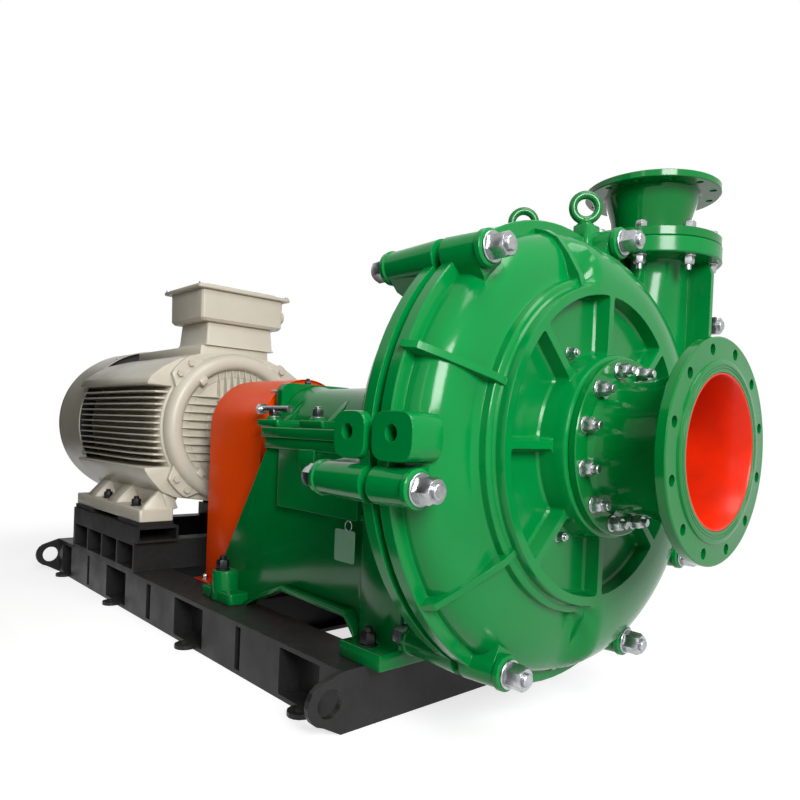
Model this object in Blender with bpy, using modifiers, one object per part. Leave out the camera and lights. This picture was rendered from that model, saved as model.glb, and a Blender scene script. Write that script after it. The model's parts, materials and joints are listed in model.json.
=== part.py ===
"""Horizontal slurry pump set: lined pump, bearing bracket, coupling, motor and steel skid.

Metres, +Z up, +X along the shaft toward the suction, +Y toward the discharge side.
The origin is on the underside of the middle cross beam, on the shaft's centre plane.
"""

import math

import bmesh
import bpy
from mathutils import Matrix, Vector

# Main positions along the shaft, measured back from the suction face
SUCTION_FACE_X = 1.400
FIT_GAP = 0.0004
RUNNING_CLEARANCE = 0.0003

# Suction adapter: a wide flange, a taper and a casing flange
SUCTION_FLANGE_RADIUS = 0.2225
SUCTION_FLANGE_THICKNESS = 0.026
SUCTION_BORE_RADIUS = 0.154
SUCTION_BOLT_CIRCLE = 0.200
SUCTION_HOLE_RADIUS = 0.011
SUCTION_HOLE_COUNT = 12
LINING_THICKNESS = 0.005
RAISED_FACE_RADIUS = 0.178
RAISED_FACE_HEIGHT = 0.004
ADAPTER_REAR_BORE = 0.122
ADAPTER_PIPE_RADIUS = 0.140
ADAPTER_REAR_FLANGE_RADIUS = 0.191
ADAPTER_REAR_FLANGE_FRONT = 0.203
ADAPTER_REAR_FACE = 0.2205
ADAPTER_REAR_BOLT_CIRCLE = 0.1665

# Split casing, distances back from the suction face
CASING_BOSS_FACE = 0.221
CASING_BOSS_RADIUS = 0.188
CASING_RING_FACE = 0.250
CASING_RING_RADIUS = 0.351
CASING_SHOULDER = 0.266
CASING_SHOULDER_RADIUS = 0.392
CASING_BULGE_RADIUS = 0.472
CASING_FLANGE_FRONT = 0.375
SPLIT_FRONT = 0.405
SPLIT_REAR = 0.427
CASING_FLANGE_REAR = 0.457
CASING_REAR_FACE = 0.592
CASING_WALL = 0.022
FRONT_WALL = 0.052
CASING_SEGMENTS = 24
POCKET_DEPTH = 0.036
POCKET_OUTER_RADIUS = 0.330
POCKET_INNER_RADIUS = 0.206
FACE_RIB_HALF_THICKNESS = 0.009

# Flange outline: radius at each angle seen from the suction side, counter-clockwise
FLANGE_START_ANGLE = 72
FLANGE_END_ANGLE = 352
FLANGE_START_RADIUS = 0.500
FLANGE_GROWTH_PER_TURN = 0.098

# Tie bolts as (y, z) about the shaft
TIE_BOLTS = (
    (0.120, 0.482),
    (-0.352, 0.372),
    (-0.517, -0.085),
    (-0.244, -0.467),
    (0.217, -0.481),
    (0.505, -0.295),
    (0.578, 0.344),
)
TIE_BOSS_RADIUS = 0.036
TIE_BOSS_FRONT = 0.300
TIE_BOSS_REAR = 0.590
TIE_STUD_RADIUS = 0.0150
TIE_NUT_RADIUS = 0.0270
TIE_NUT_THICKNESS = 0.0240
TIE_STUD_OVERHANG = 0.006

# Discharge neck and spool
DISCHARGE_Y = 0.462
NECK_RADIUS = 0.103
NECK_BORE_RADIUS = 0.080
NECK_RIB_HALF_THICKNESS = 0.007
NECK_RIB_Y = 0.500
NECK_RIB_FRONT = 0.250
NECK_LEFT_Y = 0.345
NECK_RIGHT_Y = 0.630
NECK_SHOULDER_HEIGHT = 0.430
DISCHARGE_FLANGE_RADIUS = 0.190
SPOOL_TOP_FLANGE_RADIUS = 0.181
CASING_TOP_FLANGE_BOTTOM = 0.503
CASING_TOP_FLANGE_TOP = 0.5447
SPOOL_BOTTOM = 0.5453
SPOOL_LOWER_FLANGE_TOP = 0.570
SPOOL_UPPER_FLANGE_BOTTOM = 0.698
SPOOL_TOP = 0.716
SPOOL_LOWER_RADIUS = 0.100
SPOOL_UPPER_RADIUS = 0.128
SPOOL_LOWER_BORE = 0.074
SPOOL_UPPER_BORE = 0.112
DISCHARGE_BOLT_CIRCLE = 0.160
DISCHARGE_HOLE_RADIUS = 0.009
DISCHARGE_HOLE_COUNT = 12

# Lifting eyebolts on both casing halves
EYEBOLT_Y = 0.095
EYEBOLT_FRONT = 0.390
EYEBOLT_REAR = 0.577
EYEBOLT_RING_HEIGHT = 0.577
EYEBOLT_RING_RADIUS = 0.031
EYEBOLT_BAR_RADIUS = 0.0103
EYEBOLT_BOSS_TOP = 0.530
EYEBOLT_TURN = -43.0

# Wear liners and impeller
LINER_CLEARANCE = 0.0006
LINER_WALL = 0.026
BULGE_WALL = 0.038
LINER_OUTER_RADIUS = CASING_BULGE_RADIUS - BULGE_WALL
LINER_SEAL_RADIUS = 0.478
IMPELLER_RADIUS = 0.300
IMPELLER_EYE_RADIUS = 0.112
IMPELLER_FRONT = 0.345
IMPELLER_REAR = 0.500
IMPELLER_VANES = 5
SHROUD_THICKNESS = 0.018

# Pump shaft, seal and bearings
SHAFT_RADIUS = 0.045
SHAFT_END_RADIUS = 0.036
SHAFT_FRONT = 0.400
SHAFT_STEP = 1.395
SHAFT_REAR = 1.560
SLEEVE_RADIUS = 0.056
SLEEVE_FRONT = 0.5205
SLEEVE_REAR = 0.800
SEAL_BOX_RADIUS = 0.115
SEAL_BOX_FRONT = 0.568
SEAL_BOX_REAR = 0.735
SEAL_FLANGE_RADIUS = 0.215
SEAL_FLANGE_THICKNESS = 0.018
PACKING_RADIUS = 0.073
SEAL_CLEARANCE = 0.0005
PACKING_FRONT = 0.650
PACKING_REAR = 0.715
GLAND_FRONT = 0.7165
GLAND_FLANGE = 0.748
GLAND_REAR = 0.766
GLAND_RADIUS = 0.108
HOUSING_RADIUS = 0.160
HOUSING_FRONT = 0.880
HOUSING_LENGTH = 0.480
HOUSING_REAR = HOUSING_FRONT + HOUSING_LENGTH
HOUSING_BORE = 0.110
COVER_THICKNESS = 0.028
COVER_RADIUS = 0.148
FRONT_BEARING_X = 0.930
REAR_BEARING_X = 1.290
BEARING_WIDTH = 0.060

# Bearing bracket
BRACKET_HALF_WIDTH = 0.270
SCREW_Y = -0.205
SCREW_HEIGHT = 0.055
BRACKET_TOP = 0.013
BRACKET_TOP_THICKNESS = 0.045
BRACKET_TOP_REAR = 1.247
BRACKET_RING_FRONT = 0.5925
BRACKET_RING_REAR = 0.625
BRACKET_RING_RADIUS = 0.320
BRACKET_BOX_BOTTOM = -0.218
BRACKET_LEG_FRONT = 0.620
BRACKET_LEG_REAR = 0.776
BRACKET_FOOT_FRONT = 1.340
BRACKET_FOOT_REAR = 1.520
BRACKET_CHEEK = 0.022
BRACKET_FOOT_THICKNESS = 0.040
BRACKET_FOOT_OVERHANG = 0.040

# Coupling and guard
COUPLING_RADIUS = 0.118
COUPLING_HALF_LENGTH = 0.095
COUPLING_PUMP_FRONT = 1.462
COUPLING_GAP = 0.004
COUPLING_PIN_COUNT = 6
COUPLING_PIN_CIRCLE = 0.085
COUPLING_PIN_RADIUS = 0.011
COUPLING_HOLE_RADIUS = 0.0135
GUARD_FRONT = 1.398
GUARD_REAR = 1.745
GUARD_HALF_WIDTH = 0.180
GUARD_TOP = 0.180
GUARD_SHEET = 0.004
GUARD_FOOT_WIDTH = 0.045

# Motor
MOTOR_CENTRE_HEIGHT = 0.358
MOTOR_BODY_RADIUS = 0.300
MOTOR_BORE_RADIUS = 0.262
MOTOR_BODY_FRONT = 1.907
MOTOR_BODY_REAR = 2.640
MOTOR_FIN_TIP_Y = 0.352
MOTOR_FIN_PITCH = 0.0500
MOTOR_FIN_THICKNESS = 0.009
MOTOR_FIN_COUNT = 7
SHIELD_FRONT = 1.850
SHIELD_RADIUS = 0.285
SHIELD_FLANGE_RADIUS = 0.296
SHIELD_HUB_RADIUS = 0.110
MOTOR_SHAFT_RADIUS = 0.0475
MOTOR_SHAFT_FRONT = 1.566
MOTOR_SHAFT_REAR = 2.850
MOTOR_BEARING_RADIUS = 0.090
STATOR_FRONT = 2.060
STATOR_REAR = 2.500
STATOR_BORE = 0.186
ROTOR_RADIUS = 0.1835
FAN_RADIUS = 0.250
FAN_FRONT = 2.740
FAN_REAR = 2.800
FAN_BLADES = 9
COWL_AIR_GAP = 0.046
COWL_RADIUS = MOTOR_BODY_RADIUS + COWL_AIR_GAP
COWL_FRONT = 2.672
COWL_REAR = 3.085
COWL_SHEET = 0.004
COWL_INLET_RADIUS = 0.225
MOTOR_PAD_TOP = 0.318
MOTOR_FOOT_HALF_WIDTH = 0.362
MOTOR_FOOT_FRONT = 1.905
MOTOR_FOOT_REAR = 2.610
MOTOR_FOOT_LENGTH = 0.200
MOTOR_FOOT_WIDTH = 0.130
MOTOR_FOOT_THICKNESS = 0.046

# Terminal box on top of the motor, offset toward the drive end
BOX_CENTRE_X = 2.030
BOX_CENTRE_Y = 0.020
RISER_HALF_X = 0.120
RISER_HALF_Y = 0.145
RISER_TOP = 0.410
BOX_HALF_X = 0.142
BOX_HALF_Y = 0.182
BOX_TOP = 0.530
LID_HALF_X = 0.160
LID_HALF_Y = 0.204
LID_THICKNESS = 0.026
GLAND_HEIGHT = 0.482
GLAND_X = 2.000
GLAND_NUT_RADIUS = 0.030
GLAND_NUT_LENGTH = 0.060

# Skid
SKID_HALF_WIDTH = 0.370
SKID_HEIGHT = 0.148
SKID_BEAM_WIDTH = 0.150
SKID_FRONT = 0.680
SKID_REAR = 2.830
SKID_FLANGE = 0.013
SKID_PLATE = 0.012
SKID_END_PLATE = 0.016
PADEYE_REACH = 0.465
PADEYE_HOLE_RADIUS = 0.034
CROSS_BEAM_WIDTH = 0.100
MID_BEAM_X = 1.400
MOTOR_BEAM_X = 2.105
SKID_OPENINGS = ((0.771, 0.948), (1.382, 1.581), (2.006, 2.204), (2.636, 2.760))
SKID_SLOTS = ((1.150, 1.178), (1.775, 1.810), (2.402, 2.427))
ANCHOR_TABS = (0.830, 1.470, 2.110, 2.700)
ANCHOR_TAB_RADIUS = 0.034
ANCHOR_HOLE_RADIUS = 0.013

# Motor stand between the skid and the motor feet
STAND_PAD_THICKNESS = 0.017
STAND_RAIL_HEIGHT = 0.058
STAND_RAIL_WALL = 0.008
STAND_RAIL_WIDTH = 0.155
STAND_FRONT = 1.905
STAND_REAR = 2.620
STAND_CROSS_WIDTH = 0.080
STAND_BEAM_HEIGHT = 0.112

# The shaft stands on the skid, the motor stand and the motor's centre height
STAND_TOP = SKID_HEIGHT + STAND_BEAM_HEIGHT + STAND_RAIL_HEIGHT + STAND_PAD_THICKNESS
SHAFT_HEIGHT = STAND_TOP + MOTOR_CENTRE_HEIGHT

# Pieces that turn with the two shafts
ROTOR_PIECES = (
    "pump_shaft",
    "shaft_sleeve",
    "impeller",
    "coupling_pump_half",
    "motor_shaft",
    "rotor_core",
    "motor_fan",
    "coupling_motor_half",
)

COLOURS = {
    "green_enamel": ((0.004, 0.260, 0.048), 0.18, 0.0),
    "orange_enamel": ((0.800, 0.075, 0.004), 0.30, 0.0),
    "motor_grey": ((0.560, 0.530, 0.450), 0.35, 0.0),
    "charcoal_paint": ((0.024, 0.023, 0.022), 0.40, 0.0),
    "zinc_steel": ((0.560, 0.550, 0.530), 0.35, 1.0),
    "bright_steel": ((0.600, 0.600, 0.600), 0.25, 1.0),
    "white_iron": ((0.250, 0.250, 0.250), 0.50, 0.8),
    "electrical_steel": ((0.180, 0.180, 0.200), 0.50, 0.7),
    "packing_yarn": ((0.300, 0.260, 0.180), 0.90, 0.0),
    "red_lining": ((0.520, 0.020, 0.004), 0.40, 0.0),
}


def clear_scene():
    """Removes the objects that the file opened with."""
    for obj in list(bpy.data.objects):
        bpy.data.objects.remove(obj, do_unlink=True)


clear_scene()
PARTS = bpy.data.collections.new("slurry_pump")
CUTTERS = bpy.data.collections.new("cutters")
bpy.context.scene.collection.children.link(PARTS)
bpy.context.scene.collection.children.link(CUTTERS)
CUTTERS.hide_render = True


def make_material(name, colour, roughness, metallic):
    """A Principled material of one colour."""
    material = bpy.data.materials.new(name)
    material.use_nodes = True
    shader = material.node_tree.nodes["Principled BSDF"]
    shader.inputs["Base Color"].default_value = (*colour, 1.0)
    shader.inputs["Roughness"].default_value = roughness
    shader.inputs["Metallic"].default_value = metallic
    return material


def back(distance):
    """The X of a point given by its distance back from the suction face."""
    return SUCTION_FACE_X - distance


def add(name, mesh, paint=None):
    """An object for a mesh: a part when it has a paint, otherwise a cutter."""
    obj = bpy.data.objects.new(name, mesh)
    if paint is None:
        obj.hide_render = True
        obj.display_type = "WIRE"
        CUTTERS.objects.link(obj)
        return obj
    PARTS.objects.link(obj)
    shades = COLOURS[paint]
    mesh.materials.append(make_material(f"{name}_{paint}", *shades))
    for face in mesh.polygons:
        face.use_smooth = True
    mesh.set_sharp_from_angle(angle=math.radians(32))
    return obj


def mesh_of(work, name):
    """A mesh data block from a bmesh, with its faces pointing out."""
    bmesh.ops.recalc_face_normals(work, faces=work.faces)
    mesh = bpy.data.meshes.new(name)
    work.to_mesh(mesh)
    work.free()
    return mesh


def blocks(name, boxes, paint=None):
    """Boxes, each (x0, x1, y0, y1, z0, z1), as one object."""
    work = bmesh.new()
    for x0, x1, y0, y1, z0, z1 in boxes:
        centre = Vector(((x0 + x1) / 2, (y0 + y1) / 2, (z0 + z1) / 2))
        size = Matrix.Diagonal((abs(x1 - x0), abs(y1 - y0), abs(z1 - z0), 1.0))
        bmesh.ops.create_cube(work, size=1.0, matrix=Matrix.Translation(centre) @ size)
    return add(name, mesh_of(work, name), paint)


TURN = {
    "X": Matrix.Rotation(math.pi / 2, 4, "Y"),
    "Y": Matrix.Rotation(-math.pi / 2, 4, "X"),
    "Z": Matrix.Identity(4),
}


def rods(name, axis, ends, paint=None, segments=16):
    """Cylinders, each (start, length, radius), along one axis as one object."""
    work = bmesh.new()
    along = {"X": Vector((1, 0, 0)), "Y": Vector((0, 1, 0)), "Z": Vector((0, 0, 1))}[axis]
    for start, length, radius in ends:
        place = Matrix.Translation(Vector(start) + along * (length / 2))
        bmesh.ops.create_cone(
            work,
            cap_ends=True,
            segments=segments,
            radius1=radius,
            radius2=radius,
            depth=abs(length),
            matrix=place @ TURN[axis],
        )
    return add(name, mesh_of(work, name), paint)


def turned(name, profile, paint=None, segments=32, axis="X", centre=(0.0, 0.0)):
    """A turned shape from (place along the axis, radius) points, by a Screw modifier.

    Along X the places are X values and the axis is the shaft. Along Z they are heights
    and the axis stands at the centre's (x, y). A profile that leaves the axis is closed.
    """
    on_axis = abs(profile[0][1]) < 1e-9 and abs(profile[-1][1]) < 1e-9
    area = 0.0
    for (a0, r0), (a1, r1) in zip(profile, profile[1:] + profile[:1]):
        area += r0 * a1 - r1 * a0
    if area < 0:
        profile = profile[::-1]
    profile = profile[::-1]
    work = bmesh.new()
    points = [work.verts.new((radius, 0.0, place)) for place, radius in profile]
    for first, second in zip(points, points[1:]):
        work.edges.new((first, second))
    if not on_axis:
        work.edges.new((points[-1], points[0]))
    mesh = bpy.data.meshes.new(name)
    work.to_mesh(mesh)
    work.free()
    obj = add(name, mesh, paint)
    screw = obj.modifiers.new("turn", "SCREW")
    screw.axis = "Z"
    screw.steps = segments
    screw.render_steps = segments
    screw.use_merge_vertices = True
    screw.merge_threshold = 0.00005
    screw.use_smooth_shade = True
    if axis == "X":
        obj.matrix_world = Matrix.Translation((0, 0, SHAFT_HEIGHT)) @ TURN["X"]
    else:
        obj.matrix_world = Matrix.Translation((centre[0], centre[1], SHAFT_HEIGHT))
    return obj


def plate(name, outline, low, high, axis, paint=None, holes=()):
    """A flat outline extruded from low to high along an axis.

    The outline's points are (y, z) for axis X, (x, z) for axis Y and (x, y) for axis Z,
    with z measured from the floor. Holes are (a, b, radius) round ones.
    """
    curve = bpy.data.curves.new(name, "CURVE")
    curve.dimensions = "2D"
    curve.fill_mode = "BOTH"
    curve.extrude = (high - low) / 2
    loops = [outline]
    for a, b, radius in holes:
        steps = 20
        loops.append(
            [
                (
                    a + radius * math.cos(2 * math.pi * k / steps),
                    b + radius * math.sin(2 * math.pi * k / steps),
                )
                for k in range(steps)
            ]
        )
    for loop in loops:
        spline = curve.splines.new("POLY")
        spline.points.add(len(loop) - 1)
        for point, (a, b) in zip(spline.points, loop):
            point.co = (a, b, 0.0, 1.0)
        spline.use_cyclic_u = True
    holder = bpy.data.objects.new(name + "_outline", curve)
    CUTTERS.objects.link(holder)
    graph = bpy.context.evaluated_depsgraph_get()
    mesh = bpy.data.meshes.new_from_object(holder.evaluated_get(graph))
    bpy.data.objects.remove(holder, do_unlink=True)
    middle = (low + high) / 2
    place = {
        "X": Matrix(((0, 0, 1, middle), (1, 0, 0, 0), (0, 1, 0, 0), (0, 0, 0, 1))),
        "Y": Matrix(((1, 0, 0, 0), (0, 0, 1, middle), (0, 1, 0, 0), (0, 0, 0, 1))),
        "Z": Matrix.Translation((0, 0, middle)),
    }[axis]
    work = bmesh.new()
    work.from_mesh(mesh)
    bpy.data.meshes.remove(mesh)
    bmesh.ops.remove_doubles(work, verts=work.verts, dist=0.00005)
    work.transform(place)
    return add(name, mesh_of(work, name), paint)


def boolean(target, other, operation):
    """Adds an exact Boolean to the target."""
    step = target.modifiers.new(other.name, "BOOLEAN")
    step.operation = operation
    step.solver = "EXACT"
    step.object = other
    return target


def join(target, *others):
    for other in others:
        boolean(target, other, "UNION")
    return target


def cut(target, *others):
    for other in others:
        boolean(target, other, "DIFFERENCE")
    return target


def ring_points(count, radius, start_degrees):
    """(y, z) points on a circle about the shaft, z from the floor."""
    found = []
    for k in range(count):
        angle = math.radians(start_degrees + 360 * k / count)
        found.append((radius * math.cos(angle), SHAFT_HEIGHT + radius * math.sin(angle)))
    return found


def flange_outline(inset=0.0):
    """The casing flange's outline in (y, z): a growing spiral and the neck's sides."""
    outline = []
    turn = FLANGE_END_ANGLE - FLANGE_START_ANGLE
    steps = 22
    for k in range(steps + 1):
        angle = FLANGE_START_ANGLE + turn * k / steps
        radius = FLANGE_START_RADIUS + FLANGE_GROWTH_PER_TURN * (k * turn / steps) / 360 - inset
        flat = math.radians(angle)
        outline.append((radius * math.cos(flat), SHAFT_HEIGHT + radius * math.sin(flat)))
    top = SHAFT_HEIGHT + CASING_TOP_FLANGE_BOTTOM + 0.005
    outline.append((NECK_RIGHT_Y - inset, SHAFT_HEIGHT + 0.10))
    outline.append((NECK_RIGHT_Y - inset, top))
    outline.append((NECK_LEFT_Y + inset, top))
    outline.append((NECK_LEFT_Y + inset, SHAFT_HEIGHT + NECK_SHOULDER_HEIGHT))
    return outline


def build_casings():
    """The two halves of the split casing, with bosses, lugs and half the neck each."""
    middle = (back(SPLIT_FRONT) + back(SPLIT_REAR)) / 2
    bores = []
    for y, z in TIE_BOLTS:
        longer = (back(TIE_BOSS_REAR) - 0.05, y, SHAFT_HEIGHT + z)
        bores.append((longer, TIE_BOSS_REAR - TIE_BOSS_FRONT + 0.10, TIE_STUD_RADIUS + 0.0035))
    bore = rods("tie_bolt_bores", "X", bores, segments=6)
    cavity = turned(
        "casing_cavity",
        [
            (back(CASING_RING_FACE + FRONT_WALL), 0.0),
            (back(CASING_RING_FACE + FRONT_WALL), CASING_RING_RADIUS - 0.010),
            (back(CASING_SHOULDER + 0.062), 0.405),
            (back(CASING_FLANGE_FRONT - 0.004), LINER_OUTER_RADIUS + LINER_CLEARANCE),
            (back(CASING_FLANGE_REAR + 0.004), LINER_OUTER_RADIUS + LINER_CLEARANCE),
            (back(CASING_REAR_FACE - 0.062), 0.405),
            (back(CASING_REAR_FACE - CASING_WALL), CASING_RING_RADIUS - 0.010),
            (back(CASING_REAR_FACE - CASING_WALL), 0.0),
        ],
        segments=CASING_SEGMENTS,
    )
    neck_start = (middle, DISCHARGE_Y, SHAFT_HEIGHT - 0.010)
    neck_bore = rods(
        "neck_bore", "Z", [(neck_start, 0.700, NECK_BORE_RADIUS + LINER_CLEARANCE)], segments=16
    )
    # The neck grows out of the widest part of the volute
    neck_foot = (middle, DISCHARGE_Y, SHAFT_HEIGHT + 0.100)
    neck_length = CASING_TOP_FLANGE_BOTTOM + 0.010 - 0.100
    neck = rods("neck_outside", "Z", [(neck_foot, neck_length, NECK_RADIUS)], segments=16)
    top = rods(
        "neck_flange",
        "Z",
        [
            (
                (middle, DISCHARGE_Y, SHAFT_HEIGHT + CASING_TOP_FLANGE_BOTTOM),
                CASING_TOP_FLANGE_TOP - CASING_TOP_FLANGE_BOTTOM,
                DISCHARGE_FLANGE_RADIUS,
            )
        ],
        segments=24,
    )
    front = turned(
        "front_casing",
        [
            (back(CASING_BOSS_FACE), 0.0),
            (back(CASING_BOSS_FACE), CASING_BOSS_RADIUS),
            (back(CASING_RING_FACE), CASING_BOSS_RADIUS),
            (back(CASING_RING_FACE), CASING_RING_RADIUS),
            (back(CASING_SHOULDER), CASING_SHOULDER_RADIUS),
            (back(CASING_SHOULDER + 0.034), 0.440),
            (back(CASING_SHOULDER + 0.072), 0.464),
            (back(SPLIT_FRONT), CASING_BULGE_RADIUS),
            (back(SPLIT_FRONT), 0.0),
        ],
        "green_enamel",
        segments=CASING_SEGMENTS,
    )
    rear = turned(
        "rear_casing",
        [
            (back(SPLIT_REAR), 0.0),
            (back(SPLIT_REAR), CASING_BULGE_RADIUS),
            (back(CASING_REAR_FACE - 0.080), 0.460),
            (back(CASING_REAR_FACE - 0.034), 0.425),
            (back(CASING_REAR_FACE), CASING_RING_RADIUS),
            (back(CASING_REAR_FACE), 0.0),
        ],
        "green_enamel",
        segments=CASING_SEGMENTS,
    )
    halves = (
        (front, "front", EYEBOLT_FRONT, 1),
        (rear, "rear", EYEBOLT_REAR, -1),
    )
    for body, side, eye, way in halves:
        if way > 0:
            low, high, face = back(SPLIT_FRONT), back(CASING_FLANGE_FRONT), back(SPLIT_FRONT)
            boss_ends = (face, back(TIE_BOSS_FRONT))
            lug = (face, back(0.295))
        else:
            low, high, face = back(CASING_FLANGE_REAR), back(SPLIT_REAR), back(SPLIT_REAR)
            boss_ends = (back(TIE_BOSS_REAR), face)
            lug = (back(0.520), face)
        flange = plate(f"{side}_flange_plate", flange_outline(), low, high, "X")
        own_bosses = rods(
            f"{side}_tie_bosses",
            "X",
            [
                ((boss_ends[0], y, SHAFT_HEIGHT + z), boss_ends[1] - boss_ends[0], TIE_BOSS_RADIUS)
                for y, z in TIE_BOLTS
            ],
            segments=10,
        )
        eye_box = (
            max(back(eye) - 0.030, back(TIE_BOSS_REAR)),
            min(back(eye) + 0.030, back(SPLIT_REAR)) if way < 0 else back(eye) + 0.030,
            EYEBOLT_Y - 0.030,
            EYEBOLT_Y + 0.030,
            SHAFT_HEIGHT + 0.400,
            SHAFT_HEIGHT + EYEBOLT_BOSS_TOP,
        )
        if way > 0:
            eye_box = (face, back(eye) + 0.030) + eye_box[2:]
        lug_box = (lug[0], lug[1], -0.545, -0.480, SHAFT_HEIGHT - 0.040, SHAFT_HEIGHT + 0.052)
        extras = blocks(f"{side}_lug_and_eye_boss", [eye_box, lug_box])
        eye_hole = rods(
            f"{side}_eye_hole",
            "Z",
            [((back(eye), EYEBOLT_Y, SHAFT_HEIGHT + EYEBOLT_BOSS_TOP - 0.030), 0.060, 0.0090)],
            segments=8,
        )
        lug_hole = rods(
            f"{side}_lug_hole",
            "Y",
            [((back(0.352) if way > 0 else back(0.478), -0.600, SHAFT_HEIGHT + 0.012), 0.180, 0.016)],
            segments=12,
        )
        other_side = blocks(
            f"{side}_beyond_split",
            [
                (face - 0.600, face, -0.800, 0.900, SHAFT_HEIGHT - 0.800, SHAFT_HEIGHT + 0.800)
                if way > 0
                else (face, face + 0.600, -0.800, 0.900, SHAFT_HEIGHT - 0.800, SHAFT_HEIGHT + 0.800)
            ],
        )
        join(body, flange, neck, top, own_bosses, extras)
        if way > 0:
            rib = blocks(
                "neck_rib",
                [
                    (
                        face + 0.010,
                        back(NECK_RIB_FRONT),
                        NECK_RIB_Y - NECK_RIB_HALF_THICKNESS,
                        NECK_RIB_Y + NECK_RIB_HALF_THICKNESS,
                        SHAFT_HEIGHT + 0.050,
                        SHAFT_HEIGHT + CASING_TOP_FLANGE_BOTTOM + 0.004,
                    )
                ],
            )
            join(body, rib)
        cut(body, cavity, neck_bore, bore, eye_hole, lug_hole, other_side)
    bore_start = (back(0.300), 0, SHAFT_HEIGHT)
    front_bore = rods("suction_opening", "X", [(bore_start, 0.120, ADAPTER_REAR_BORE)], segments=24)
    cut(front, front_bore)
    rear_bore = rods("rear_opening", "X", [((back(0.640), 0, SHAFT_HEIGHT), 0.120, 0.190)], segments=24)
    cut(rear, rear_bore)
    build_pockets(front)


def build_pockets(front):
    """Pockets between the eight radial ribs of the front face."""
    for k in range(8):
        outline = []
        for radius, steps in ((POCKET_OUTER_RADIUS, (0, 1, 2)), (POCKET_INNER_RADIUS, (2, 1, 0))):
            edge = math.degrees(FACE_RIB_HALF_THICKNESS / radius)
            for j in steps:
                angle = math.radians(45 * k + edge + (45 - 2 * edge) * j / 2)
                outline.append((radius * math.cos(angle), SHAFT_HEIGHT + radius * math.sin(angle)))
        pocket = plate(
            f"face_pocket_{k + 1}",
            outline,
            back(CASING_RING_FACE + POCKET_DEPTH),
            back(CASING_RING_FACE - 0.020),
            "X",
        )
        cut(front, pocket)


def discharge_holes(middle):
    """Through holes of the spool's upper flange on the discharge bolt circle."""
    found = []
    for k in range(DISCHARGE_HOLE_COUNT):
        angle = math.radians(15 + 360 * k / DISCHARGE_HOLE_COUNT)
        x = middle + DISCHARGE_BOLT_CIRCLE * math.cos(angle)
        y = DISCHARGE_Y + DISCHARGE_BOLT_CIRCLE * math.sin(angle)
        found.append(((x, y, SHAFT_HEIGHT + SPOOL_UPPER_FLANGE_BOTTOM - 0.030), 0.080, DISCHARGE_HOLE_RADIUS))
    return found


def build_liners():
    """Volute liner, front and rear liner discs."""
    wide = LINER_OUTER_RADIUS
    front = back(CASING_RING_FACE + FRONT_WALL) - LINER_CLEARANCE
    rear = back(CASING_REAR_FACE - CASING_WALL) + LINER_CLEARANCE
    disc_front = front - LINER_WALL - LINER_CLEARANCE
    disc_rear = rear + LINER_WALL + LINER_CLEARANCE
    volute = turned(
        "volute_liner",
        [
            (front, 0.275),
            (front, CASING_RING_RADIUS - 0.013),
            (back(CASING_SHOULDER + 0.063), 0.403),
            (back(CASING_FLANGE_FRONT - 0.004), wide),
            (back(SPLIT_FRONT) - FIT_GAP, wide),
            (back(SPLIT_FRONT) - FIT_GAP, LINER_SEAL_RADIUS),
            (back(SPLIT_REAR) + FIT_GAP, LINER_SEAL_RADIUS),
            (back(SPLIT_REAR) + FIT_GAP, wide),
            (back(CASING_FLANGE_REAR + 0.004), wide),
            (back(CASING_REAR_FACE - 0.063), 0.403),
            (rear, CASING_RING_RADIUS - 0.013),
            (rear, 0.275),
        ],
        "white_iron",
        segments=CASING_SEGMENTS,
    )
    middle = (back(SPLIT_FRONT) + back(SPLIT_REAR)) / 2
    neck = rods(
        "liner_neck",
        "Z",
        [((middle, DISCHARGE_Y, SHAFT_HEIGHT + 0.050), CASING_TOP_FLANGE_TOP - 0.052, NECK_BORE_RADIUS)],
        segments=16,
    )
    hollow = turned(
        "liner_hollow",
        [
            (rear + LINER_WALL, 0.0),
            (rear + LINER_WALL, 0.330),
            (back(CASING_FLANGE_REAR - 0.010), wide - LINER_WALL),
            (back(CASING_FLANGE_FRONT + 0.010), wide - LINER_WALL),
            (front - LINER_WALL, 0.330),
            (front - LINER_WALL, 0.0),
        ],
        segments=CASING_SEGMENTS,
    )
    bore_start = (middle, DISCHARGE_Y - 0.010, SHAFT_HEIGHT - 0.020)
    bore = rods("liner_neck_bore", "Z", [(bore_start, 0.700, 0.062)], segments=16)
    join(volute, neck)
    cut(volute, hollow, bore)
    turned(
        "front_liner",
        [
            (front, ADAPTER_REAR_BORE - 0.010),
            (front, 0.275 - LINER_CLEARANCE),
            (disc_front, 0.275 - LINER_CLEARANCE),
            (disc_front, ADAPTER_REAR_BORE - 0.010),
        ],
        "white_iron",
        segments=CASING_SEGMENTS,
    )
    turned(
        "rear_liner",
        [
            (rear, 0.118),
            (rear, 0.275 - LINER_CLEARANCE),
            (disc_rear, 0.275 - LINER_CLEARANCE),
            (disc_rear, 0.118),
        ],
        "white_iron",
        segments=CASING_SEGMENTS,
    )


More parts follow.
